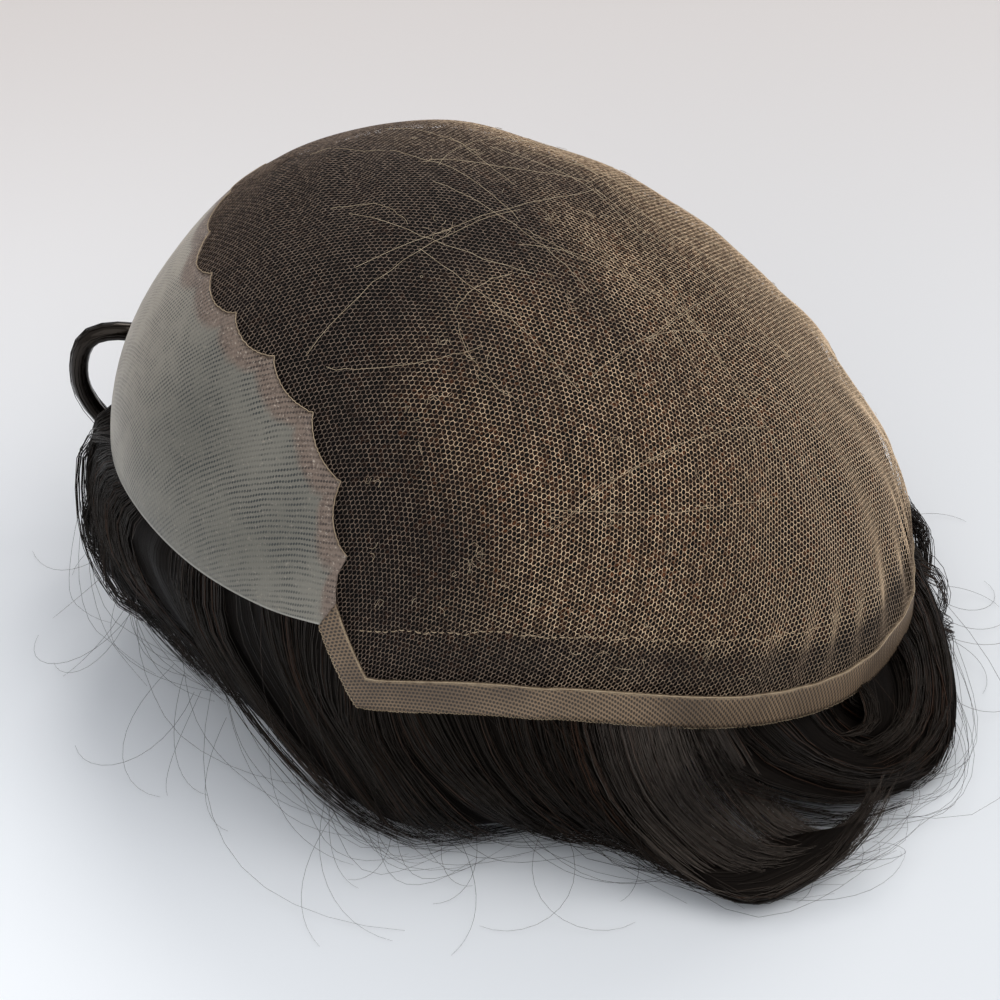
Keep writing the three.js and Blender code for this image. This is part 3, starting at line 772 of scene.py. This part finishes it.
def net_crown(material):
    side = CELL_PITCH / math.sqrt(3)
    turns, reaches = net_boundary()
    across, along = CELL_PITCH / 2, 1.5 * side
    half = reaches.max()
    columns, rows = int(half / across) + 1, int(half / along) + 1
    i, j = np.meshgrid(np.arange(-columns, columns + 1), np.arange(-rows, rows + 1), indexing="ij")
    flat = np.stack([i * across, along * j + side / 4 * np.where((i + j) % 2 == 0, 1, -1)], -1)
    flat = flat + rng.normal(0, CELL_JITTER * CELL_PITCH, flat.shape)
    c, s = math.cos(WEAVE_TURN), math.sin(WEAVE_TURN)
    uv = np.stack([flat[..., 0] * c - flat[..., 1] * s, flat[..., 0] * s + flat[..., 1] * c], -1)
    limit = np.interp(np.arctan2(uv[..., 1], uv[..., 0]), turns, reaches, period=2 * np.pi)
    inside = np.hypot(uv[..., 0], uv[..., 1]) < limit + 0.0002
    bearing, rise = cloth.chart(uv)
    place = skin(bearing, rise, NET_THREAD)
    # Painted light: each thread's tone is the painted light, held low close to the band.
    strip = np.clip((rise - rim_rise(bearing) - 13) / 4, 0, 1)
    tone = painted_light_at(place) * (0.35 + 0.65 * strip)
    split = np.quantile(j[inside], (0.25, 0.5, 0.75))
    zone = np.digitize(j, split)
    for k, label in enumerate(("net_front", "net_fore_crown", "net_rear_crown", "net_back")):
        here = inside & (zone == k)
        chains, tones = [], []
        for row in np.flatnonzero(here.any(0)):
            joined = (here[:-1, row] & here[1:, row]).astype(int)
            jumps = np.diff(np.concatenate([[0], joined, [0]]))
            for a, b in zip(np.flatnonzero(jumps == 1), np.flatnonzero(jumps == -1)):
                chains.append(place[a:b + 1, row])
                tones.append(tone[a:b + 1, row])
        struts = here[:, :-1] & inside[:, 1:] & ((i + j) % 2 == 0)[:, :-1]
        a, b = np.nonzero(struts)
        chains += list(np.stack([place[a, b], place[a, b + 1]], 1))
        tones += list(np.stack([tone[a, b], tone[a, b + 1]], 1))
        piece = threads(label, chains, material, NET_THREAD, 3, caps=False, tone=tones)
        fit(piece, "net", *(["lace_crown"] if k == 1 else []))


# Film front and edge band

def cloth_uv(grid):
    return cloth.flat(grid[..., 0], grid[..., 1]) * 1000


def across_rows(foot, head, count):
    share = np.linspace(0, 1, count)[None, :, None]
    return foot[:, None, :] * (1 - share) + head[:, None, :] * share


def lengths_across(grid):
    p = cap_point(grid[..., 0], grid[..., 1])
    steps = np.linalg.norm(np.diff(p, axis=1), axis=2)
    return np.concatenate([np.zeros((len(p), 1)), np.cumsum(steps, 1)], 1)


def film_front(material):
    head = evenly(seam_line, 320)
    bearings = np.linspace(NOTCH[0], -180 - NOTCH[0], 800)
    foot = evenly(np.stack([bearings, rim_rise(bearings)], -1), len(head))
    grid = across_rows(foot, head, 16)
    run = lengths_across(grid)
    outer, inner = skin(grid[..., 0], grid[..., 1], 0.0), skin(grid[..., 0], grid[..., 1], FILM_WALL)
    facts = {"from_seam": run[:, -1:] - run, "from_edge": run}
    piece = grid_piece("film_front", outer[::-1], inner[::-1], material, "Cloth", cloth_uv(grid[::-1]),
                       facts={key: value[::-1] for key, value in facts.items()})
    fit(piece, "film", "poly_front")
    return piece


def edge_band(material):
    columns = 9
    near = across_rows(outer_edge, inner_edge, columns)
    far = near[::-1][1:].copy()
    far[..., 0] = -180 - far[..., 0]
    grid = np.vstack([near, far])
    share = np.linspace(0, 1, columns)[None, :] + np.zeros((len(grid), 1))
    turned = np.where(grid[..., 0] < -270, grid[..., 0] + 360, grid[..., 0])
    grid_uv = cloth_uv(np.stack([turned, grid[..., 1]], -1))
    outer = skin(grid[..., 0], grid[..., 1], -BAND_LIFT)
    inner = skin(grid[..., 0], grid[..., 1], BAND_DEPTH)
    piece = grid_piece("band_tape", outer, inner, material, "Cloth", grid_uv, facts={"from_edge": share})
    fit(piece, "band", "edge_band")
    return piece


def edge_loops(material):
    """Cut cells of the net that stand out along the band's outer edge as tiny loops."""
    near = evenly(outer_edge, 2 * int(0.2 / 0.0009))
    edge = np.vstack([near, mirrored(near)[1:]])
    out = 0.00042 * rng.uniform(0.6, 1.25, len(edge))
    tip = shifted(edge, -out)
    loops = []
    for k in range(1, len(edge) - 2, 2):
        chart = np.array([edge[k - 1], tip[k], tip[k + 1], edge[k + 1]])
        loops.append(skin(chart[:, 0], chart[:, 1], 0.0001))
    return fit(threads("band_loops", loops, material, EDGE_LOOP), "band")


def band_cord(material):
    """A fine cord along the band's inner edge."""
    near = evenly(inner_edge[TEMPLE_STEPS:], 190)
    line = np.vstack([near, mirrored(near)[1:]])
    line[:, 0] = np.where(line[:, 0] < -270, line[:, 0] + 360, line[:, 0])
    course = skin(line[:, 0], line[:, 1], -0.0002)
    return fit(threads("band_cord", [course], material, BAND_CORD, 4), "band")


def seam_cord(material):
    line = evenly(scallops, 420)
    fray = rng.normal(0, 0.00006, len(line))
    line = shifted(line, fray)
    course = skin(line[:, 0], line[:, 1], -0.0001)
    return fit(threads("seam_cord", [course], material, SEAM_CORD, 4), "film")


def stitch_lines(material):
    """A row of small stitches through the net on the near side, some way above the band."""
    base = shifted(evenly(outer_edge[TEMPLE_STEPS:], 300), BAND_WIDTH + STITCH_ROW)
    base = base[(base[:, 0] > -24) & (base[:, 0] < 74)]
    line = evenly(base, 92)
    line = shifted(line, rng.normal(0, 0.00025, len(line)))
    chains = []
    for a, b in zip(line[:-1], line[1:]):
        stitch = a + (b - a) * np.array([[0.0], [0.3], [0.62]]) * rng.uniform(0.7, 1.2)
        depth = np.array([0.0001, -0.00022, 0.0001])
        chains.append(skin(stitch[:, 0], stitch[:, 1], depth))
    return fit(threads("net_stitches", chains, material, STITCH), "net")


def stray_threads(material):
    """Pale threads drawn across the net, most of them near one of three slants."""
    chains = []
    for _ in range(64):
        middle = np.array([rng.uniform(-0.07, 0.08), rng.uniform(-0.065, 0.085)])
        turn = rng.choice([0.9, 2.2, 1.5], p=[0.5, 0.3, 0.2]) + rng.normal(0, 0.2)
        size = rng.uniform(0.012, 0.06)
        t = np.linspace(-0.5, 0.5, 16)
        heading = turn + rng.normal(0, 0.07) * t * 4
        step = np.stack([np.cos(heading), np.sin(heading)], -1) * size
        uv = middle + step * t[:, None] + rng.normal(0, 0.00016, (16, 2))
        bearing, rise = cloth.chart(uv)
        if (rise > rim_rise(bearing) + 7).all() and (rise > 20).all():
            chains.append(skin(bearing, rise, -0.00004))
    return fit(threads("stray_threads", chains, material, STRAY_THREAD), "net")


def net_fuzz(material):
    """Short bits of fibre caught on the net."""
    chains = []
    for _ in range(300):
        middle = np.array([rng.uniform(-0.05, 0.09), rng.uniform(-0.08, 0.08)])
        turn, bend = rng.uniform(0, 2 * math.pi), rng.normal(0, 2.2)
        t = np.linspace(-0.5, 0.5, 4)
        heading = turn + bend * t
        way = np.stack([np.cos(heading), np.sin(heading)], -1)
        uv = middle + way * t[:, None] * rng.uniform(0.0012, 0.0045)
        bearing, rise = cloth.chart(uv)
        if (rise > rim_rise(bearing) + 9).all() and (uv[:, 1] > -0.055).all():
            chains.append(skin(bearing, rise, -0.0002 - 0.0002 * rng.uniform(0, 1)))
    return fit(threads("net_fuzz", chains, material, FUZZ), "net")


def hair_bed(material):
    """The mat of hair under the net and film."""
    bearings = np.linspace(90, -270, 121)[:-1]
    foot = rim_rise(bearings) + 4
    shares = np.sin(np.linspace(0, 1, 26) * np.pi / 2) * 0.985
    rise = foot[:, None] + (90 - foot[:, None]) * shares
    bearing = bearings[:, None] + 0 * rise
    outer, inner = skin(bearing, rise, BED_DEPTH), skin(bearing, rise, BED_DEPTH + BED_WALL)
    # Painted light: the mat's lit share follows the net's painted light, kept dark close to the rim.
    strip = np.clip((rise - foot[:, None] - 9) / 4, 0, 1)
    facts = {"warmth": painted_light_at(outer) * strip}
    piece = grid_piece("hair_bed", outer, inner, material, closed=True, facts=facts)
    return fit(piece, "hair", "hair_lining")


# Hair

def outward(bearing):
    p = cap_point(bearing, rim_rise(bearing))
    out = leaned(cap_normal(p))
    out[..., 2] = 0
    return unit(out)


COURSE_COLUMNS = ("sweep", "lift", "belly", "foot", "height", "fullness")


def course(table, t):
    knots = np.linspace(0, 1, len(table))
    return {name: smooth(knots, [row[k] for row in table], t) for k, name in enumerate(COURSE_COLUMNS)}


def hair_place(bearing, stage, size):
    half = symmetric(bearing)
    inner = 1 - stage["belly"] - stage["foot"]
    lift = stage["lift"] * math.degrees(ROOT_STRIP / ((HALF_WIDTH + CROWN_HEIGHT) / 2))
    p = cap_point(bearing, rim_rise(bearing) + lift)
    out = outward(bearing)
    reach = (read(HAIR_OUTLINE, 1, half) * stage["belly"] + read(HAIR_OUTLINE, 2, half) * stage["foot"])
    place = placed(p - cap_normal(p) * (inner * ROOT_INSET)[..., None])
    place = place + out * (reach * HAIR_REACH * size)[..., None]
    place[..., 2] *= stage["height"] + read(HAIR_OUTLINE, 3, half) * stage["foot"]
    return place


def hair_frame(place, bearing):
    """Directions off a lock and across it, at points of its run."""
    ahead = unit(np.gradient(place, axis=-2))
    off = outward(bearing)
    off[..., 2] = 0.35
    off = unit(off - ahead * (off * ahead).sum(-1, keepdims=True))
    return off, np.cross(ahead, off)


def swept(root, sweep):
    return root + HAIR_SWEEP * np.cos(np.radians(root)) * sweep


def lock_body(label, node, start, end, locks, reach, material):
    """The dark body of a hair group, ridged where its locks lie side by side."""
    columns, steps = locks * 10 + 1, 20
    root = np.linspace(start, end, columns)[:, None]
    stage = course(LOCK_COURSE, np.linspace(0, 1, steps)[None, :])
    bearing = swept(root, stage["sweep"])
    size = reach * (1 + 0.12 * np.sin(np.radians(root) * 10))
    place = hair_place(bearing, {k: v + 0 * bearing for k, v in stage.items()}, size + 0 * bearing)
    off, _ = hair_frame(place, bearing)
    phase = np.linspace(0, locks, columns)[:, None]
    ridge = np.abs(np.sin(np.pi * phase)) ** 0.6 * 0.85 + 0.15 * np.abs(np.sin(3 * np.pi * phase))
    proud = LOCK_RELIEF * stage["fullness"] * (ridge - 1) + BACKING / 2 - 0.0016
    sunk = LOCK_RELIEF * stage["fullness"] + BACKING / 2
    outer = place + off * (proud + 0 * bearing)[..., None]
    inner = place - off * (np.minimum(sunk, 0.006) + 0 * bearing)[..., None]
    outer[..., 2] = np.maximum(outer[..., 2], 0.0006)
    inner[..., 2] = np.maximum(inner[..., 2], 0.0002)
    uv = np.stack([root * 0.0012 + 0 * bearing, np.linspace(0, 0.08, steps)[None, :] + 0 * bearing], -1)
    piece = grid_piece(label + "_locks", outer[:, ::-1], inner[:, ::-1], material, "Hair", uv[:, ::-1])
    return fit(piece, "hair", node)


def strands_of(roots, centre, table, sweep, size, proud, wave, phase, length=14):
    """Chains of points for strands that follow a course round the rim."""
    t = np.linspace(0, 1, length)[None, :]
    stage = course(table, t)
    gather = 0.55 * t
    base = roots[:, None] * (1 - gather) + centre[:, None] * gather
    bearing = base + HAIR_SWEEP * np.cos(np.radians(centre[:, None])) * stage["sweep"] * sweep[:, None]
    full = {key: value + 0 * bearing for key, value in stage.items()}
    place = hair_place(bearing, full, size[:, None] + 0 * bearing)
    off, side = hair_frame(place, bearing)
    swing = np.sin(2 * np.pi * (t * 1.3 + phase[:, None])) * wave[:, None] * full["fullness"]
    place = place + off * (proud[:, None] * full["fullness"])[..., None] + side * swing[..., None]
    return place


def keep_in(place, radius):
    low, high = np.array(cad_bounds[0]), np.array(cad_bounds[1])
    room = BOX_SHARE * (high - low) + BOX_ROOM
    place[..., :2] = np.clip(place[..., :2], (low - room)[:2], (high + room)[:2])
    place[..., 2] = np.maximum(place[..., 2], radius)
    return place


def taper(count, length, tip=0.35):
    t = np.linspace(0, 1, length)
    return np.tile(1 - (1 - tip) * t ** 3, (count, 1))


def tufts(count, start, end, per_tuft):
    """Roots of strands in tufts: roots, tuft middles, and a number of each tuft for its own draws."""
    middles = rng.uniform(start, end, max(count // per_tuft, 1))
    owner = rng.integers(0, len(middles), count)
    roots = middles[owner] + rng.normal(0, 2.2, count)
    return np.clip(roots, start, end), middles[owner], owner, len(middles)


def group_strands(label, start, end, count, reach, material):
    roots, centre, owner, many = tufts(count, start, end, 26)
    size = reach * (1 + 0.12 * np.sin(np.radians(centre) * 10)) * (1 + rng.normal(0, 0.03, many))[owner]
    sweep = rng.uniform(0.85, 1.2, many)[owner] + rng.normal(0, 0.02, count)
    proud = BACKING / 2 + rng.uniform(-0.0022, 0.0008, many)[owner] + rng.normal(0, 0.0006, count)
    wave = rng.normal(0, 0.0016, many)[owner] + rng.normal(0, 0.0004, count)
    phase = rng.uniform(0, 1, many)[owner] + rng.normal(0, 0.02, count)
    place = strands_of(roots, centre, LOCK_COURSE, sweep, size, proud, wave, phase, 12)
    tone = np.repeat(rng.uniform(0, 1, count)[:, None], place.shape[1], 1)
    place = keep_in(place, STRAND)
    girth = taper(*place.shape[:2])
    return fit(threads(label + "_strands", place, material, STRAND, girth=girth, tone=tone), "hair")


class Combing:
    """A sheet of hair between courses from the rim to the tips, even along its length."""

    def __init__(self, rows, length=22):
        lines = []
        for bearing, points in rows:
            start = []
            for above in (7, 2.5):
                p = cap_point(np.array(float(bearing)), rim_rise(np.array(float(bearing))) + above)
                start.append(placed(p - cap_normal(p) * ROOT_INSET))
            knots = np.vstack([start, np.array(points) / 1000])
            along = np.concatenate([[0], np.cumsum(np.linalg.norm(np.diff(knots, axis=0), axis=1))])
            fine = np.linspace(0, along[-1], 80)
            line = np.stack([smooth(along, knots[:, k], fine) for k in range(3)], -1)
            run = np.concatenate([[0], np.cumsum(np.linalg.norm(np.diff(line, axis=0), axis=1))])
            at = np.linspace(0, run[-1], length)
            lines.append(np.stack([np.interp(at, run, line[:, k]) for k in range(3)], -1))
        self.lines = np.array(lines)
        self.width = len(rows) - 1
        self.along = unit(np.gradient(self.lines, axis=1))
        self.off = unit(np.cross(self.along, np.gradient(self.lines, axis=0)))

    def at(self, field, s, t):
        count, length = field.shape[:2]
        i = np.clip(s.astype(int), 0, count - 2)
        k = np.clip((t * (length - 1)).astype(int), 0, length - 2)
        a, b = (s - i)[..., None], (t * (length - 1) - k)[..., None]
        near = field[i, k] * (1 - b) + field[i, k + 1] * b
        far = field[i + 1, k] * (1 - b) + field[i + 1, k + 1] * b
        return near * (1 - a) + far * a


combings = {name: Combing(rows) for name, rows in COMBINGS.items()}


def combed_body(label, name, low, high, reach, material, node=None):
    """The dark body of combed hair, ridged lengthwise, between two courses."""
    sheet = combings[name]
    rows, columns = int((high - low) * 12) + 1, 22
    s, t = np.meshgrid(np.linspace(low, high, rows), np.linspace(0, reach, columns), indexing="ij")
    place, off = sheet.at(sheet.lines, s, t), unit(sheet.at(sheet.off, s, t))
    broad = np.abs(np.sin(np.pi * (s * 2.1 + 0.5 * np.sin(t * 2.2))))
    ridge = broad * 0.7 + 0.3 * np.abs(np.sin(np.pi * s * 6.3))
    edge = np.sin(np.pi * np.clip((s - low) / (high - low), 0, 1)) ** 0.35
    tip = 1 - 0.7 * (t / reach) ** 4
    outer = place + off * ((0.0016 * ridge - 0.0022) * edge * np.sqrt(t / reach) - 0.0003)[..., None]
    inner = place - off * (0.0008 + 0.0034 * edge * tip)[..., None]
    outer[..., 2] = np.maximum(outer[..., 2], 0.0007)
    inner[..., 2] = np.maximum(inner[..., 2], 0.0002)
    uv = np.stack([s * 0.011, t * 0.07], -1)
    piece = grid_piece(label, outer[::-1], inner[::-1], material, "Hair", uv[::-1])
    return fit(piece, "hair", *([node] if node else []))


def combed_strands(label, name, count, material, low=0.0, high=None, spread=0.1, depth=0.0011,
                   lengths=(0.82, 1.04), wave=0.0009, length=15, radius=STRAND):
    """Strands along a combed sheet, in tufts that draw together towards their tips."""
    sheet = combings[name]
    high = sheet.width if high is None else high
    many = max(int(count / 17), 1)
    owner = rng.integers(0, many, count)
    middle = rng.uniform(low, high, many)[owner]
    own = np.clip(middle + rng.normal(0, spread, count), low - 0.08, high + 0.08)
    span = rng.uniform(*lengths, many)[owner] + rng.normal(0, 0.02, count)
    t = np.linspace(0, 1, length)[None, :] * span[:, None]
    gather = 0.6 * t ** 1.5
    s = own[:, None] * (1 - gather) + middle[:, None] * gather
    place, off = sheet.at(sheet.lines, s, t), unit(sheet.at(sheet.off, s, t))
    side = np.cross(off, unit(np.gradient(place, axis=1)))
    level = rng.normal(0, depth, many)[owner] + rng.normal(0, depth * 0.5, count)
    swing = rng.normal(0, wave, many)[owner] + rng.normal(0, wave * 0.3, count)
    phase = rng.uniform(0, 1, many)[owner] + rng.normal(0, 0.02, count)
    room = np.sqrt(np.clip(t, 0, 1))
    bend = np.sin(2 * np.pi * (t * 1.2 + phase[:, None])) * swing[:, None] * room
    place = place + off * (level[:, None] * room)[..., None] + side * bend[..., None]
    tone = np.repeat(rng.uniform(0, 1, count)[:, None], length, 1)
    place = keep_in(place, radius)
    return fit(threads(label, place, material, radius, girth=taper(count, length), tone=tone), "hair")


def evenly_in_space(line, count):
    run = np.concatenate([[0], np.cumsum(np.linalg.norm(np.diff(line, axis=0), axis=1))])
    at = np.linspace(0, run[-1], count)
    return np.stack([np.interp(at, run, line[:, k]) for k in range(3)], -1)


def loop_strands(material, count=80, length=20):
    bearing = np.array(float(LOOP_BEARING))
    p = cap_point(bearing, rim_rise(bearing))
    root = placed(p - cap_normal(p) * ROOT_INSET)
    knots = np.array([(0.0, -ahead, up) for ahead, up in LOOP_COURSE]) * LOOP_SIZE + root
    t = np.linspace(0, len(knots) - 1, length)
    line = np.stack([smooth(np.arange(len(knots)), knots[:, k], t) for k in range(3)], -1)
    ahead = unit(np.gradient(line, axis=0))
    side = np.array([1.0, 0, 0])
    up = np.cross(ahead, side)
    turn, radius = rng.uniform(0, 2 * math.pi, count), LOOP_SPREAD * np.sqrt(rng.uniform(0, 1, count))
    drift = rng.normal(0, 0.0004, (count, 1)) * np.linspace(0, 1, length)[None, :]
    place = (line[None] + side * (np.cos(turn) * radius)[:, None, None]
             + up[None] * ((np.sin(turn) * radius)[:, None] + drift)[..., None])
    tone = np.repeat(rng.uniform(0, 1, count)[:, None], length, 1)
    core = evenly_in_space(line, 30)[None]
    fit(threads("loop_lock", core, material, LOOP_LOCK, 10, girth=taper(1, 30, 0.6)), "hair")
    girth = taper(count, length, 0.6)
    return fit(threads("loop_strands", place, material, STRAND, girth=girth, tone=tone), "hair")


def flyaways(material, length=13):
    """Single hairs that have come away from the locks and lie in loose arcs on the table."""
    parts = []
    for name, count, stray in (("near", 70, 0.008), ("curl", 12, 0.006), ("turn", 44, 0.010)):
        sheet = combings[name]
        s = sheet.width * rng.uniform(0, 1, count)[:, None] ** 0.7 + np.zeros((1, length))
        start = rng.uniform(0.15, 0.75, count)[:, None]
        t = start + (rng.uniform(0.95, 1.25, count)[:, None] - start) * np.linspace(0, 1, length)[None, :]
        place = sheet.at(sheet.lines, s, t)
        out = unit(place * np.array([1, 1, 0.0]))
        side = np.cross(out, [0, 0, 1.0])
        go = np.linspace(0, 1, length)[None, :]
        away = np.abs(rng.normal(0, stray, count))[:, None]
        away = away * np.sin(go * rng.uniform(1.2, 3.0, count)[:, None])
        drift = rng.normal(0, 0.007, count)[:, None] * go ** 2
        place = place + out * away[..., None] + side * drift[..., None]
        arch = 0.002 * np.sin(go * 3.1) * rng.uniform(0, 1, count)[:, None]
        place[..., 2] = place[..., 2] * (1 - go) + 0.0004 * go + arch
        parts.append(place)
    count = 60
    bearing = rng.uniform(-230, 110, count)
    stage = {key: value + np.zeros(count) for key, value in course(LOCK_COURSE, np.full(count, 0.72)).items()}
    start = hair_place(bearing, stage, np.full(count, 0.8))
    out = outward(bearing)
    across = np.cross(out, [0, 0, 1.0])
    size, turn = rng.uniform(0.014, 0.04, count), rng.choice([-1, 1], count) * rng.uniform(1.2, 3.2, count)
    aim = -turn * 0.35 + rng.normal(0, 0.5, count)
    t = np.linspace(0, 1, length)[None, :]
    heading = aim[:, None] + turn[:, None] * t
    step = out[:, None, :] * np.cos(heading)[..., None] + across[:, None, :] * np.sin(heading)[..., None]
    place = start[:, None, :] + np.cumsum(step, 1) * (size / length)[:, None, None]
    place[..., 2] = start[:, 2:3] * (1 - t) ** 2 + 0.0004
    parts.append(place)
    place = keep_in(np.vstack(parts), 0.0002)
    tone = np.repeat(rng.uniform(0.4, 1, len(place))[:, None], length, 1)
    girth = taper(len(place), length, 0.5)
    return fit(threads("flyaway_hairs", place, material, FLYAWAY, girth=girth, tone=tone), "hair")


# Camera, light and table

CAMERA_TARGET = CAP_ORIGIN + np.array([0.068086, -0.002457, 0.044979])
CAMERA_DISTANCE = 0.907654
CAMERA_AZIMUTH = math.radians(86.318)
CAMERA_ELEVATION = math.radians(37.086)
CAMERA_LENS = 173.4


def make_camera():
    az, el = CAMERA_AZIMUTH, CAMERA_ELEVATION
    back = Vector((math.sin(az) * math.cos(el), -math.cos(az) * math.cos(el), math.sin(el)))
    data = bpy.data.cameras.new("camera")
    data.lens = CAMERA_LENS
    data.sensor_width = 36
    camera = collect(bpy.data.objects.new("camera", data))
    camera.location = Vector(CAMERA_TARGET) + back * CAMERA_DISTANCE
    camera.rotation_mode = "QUATERNION"
    camera.rotation_quaternion = (-back).to_track_quat("-Z", "Y")
    bpy.context.scene.camera = camera


def area_light(name, place, size, power, colour):
    data = bpy.data.lights.new(name, "AREA")
    data.shape, data.size, data.energy, data.color = "DISK", size, power, colour
    light = collect(bpy.data.objects.new(name, data))
    light.location = place
    light.rotation_mode = "QUATERNION"
    light.rotation_quaternion = (Vector((0, 0, 0.05)) - Vector(place)).to_track_quat("-Z", "Y")


def make_studio():
    table = bpy.data.meshes.new("table")
    half = 4.0
    corners = [(-half, -half, 0), (half, -half, 0), (half, half, 0), (-half, half, 0)]
    table.from_pydata(corners, [], [(0, 1, 2, 3)])
    table.materials.append(floor_material())
    collect(bpy.data.objects.new("table", table))
    area_light("window", (0.35, 1.2, 1.7), 2.2, 19, (1.0, 0.98, 0.95))
    area_light("far_window", (-1.25, 0.15, 1.45), 0.7, 7, (1.0, 0.98, 0.95))
    area_light("fill", (1.6, -0.5, 1.3), 2.0, 9, (0.94, 0.97, 1.0))
    world = bpy.data.worlds.new("room")
    world.use_nodes = True
    world.node_tree.nodes["Background"].inputs[0].default_value = (0.93, 0.95, 1.0, 1.0)
    world.node_tree.nodes["Background"].inputs[1].default_value = 0.62
    bpy.context.scene.world = world
    bpy.context.scene.view_settings.view_transform = "Standard"


make_camera()
make_studio()

pale_thread = thread_material("pale_thread", paint(176, 156, 126), paint(205, 186, 156))
tan_thread = thread_material("tan_thread", paint(150, 130, 104), paint(176, 156, 128))
hair_bed(bed_material())
net_crown(net_material())
film_front(film_material())
edge_band(band_material())
edge_loops(tan_thread)
seam_cord(tan_thread)
band_cord(tan_thread)
stitch_lines(tan_thread)
stray_threads(pale_thread)
net_fuzz(pale_thread)

lock_look = lock_material()
strand_look = hair_material("strand_hair")
gloss_look = hair_material("glossy_hair", gloss=0.9, roughness=0.1)
loose_look = hair_material("loose_hair")
for label, node, start, end, locks, reach, _, _ in HAIR_GROUPS:
    lock_body(label, node, start, end, locks, reach, lock_look)
for label, _, _, end, _, reach, start, count in HAIR_GROUPS:
    group_strands(label, start, end, count, reach, strand_look)
combed_body("temple_locks", "near", 0, 5.4, 0.95, lock_look)
combed_body("near_locks", "near", 5.3, 9, 0.93, lock_look, "near_side_hair")
combed_body("curl_lock", "curl", 0, 0.8, 0.85, lock_look)
combed_body("curl_root_lock", "curl", 0, 2, 0.24, lock_look)
combed_body("swirl_lock", "swirl", 0.6, 4, 0.95, lock_look)
combed_body("turned_lock", "turn", 0, 3, 0.93, lock_look)
combed_strands("near_strands", "near", 1240, strand_look, spread=0.16, depth=0.0015, length=14)
combed_strands("curl_strands", "curl", 230, gloss_look, low=0, high=1.1, spread=0.14)
combed_strands("inner_curl_strands", "curl", 120, gloss_look, low=1.5, high=2.0, spread=0.12)
combed_strands("curl_root_strands", "curl", 330, gloss_look, low=0.5, high=1.95, spread=0.2,
               lengths=(0.34, 0.95), length=10)
combed_strands("loose_strands", "near", 80, loose_look, low=1, high=9, spread=0.4, depth=0.0022,
               lengths=(0.85, 1.15), wave=0.005, length=14, radius=LOOSE_STRAND)
combed_strands("swirl_strands", "swirl", 280, strand_look, depth=0.0018, length=9)
combed_strands("turned_strands", "turn", 460, strand_look, length=14)
loop_strands(strand_look)
flyaways(loose_look)
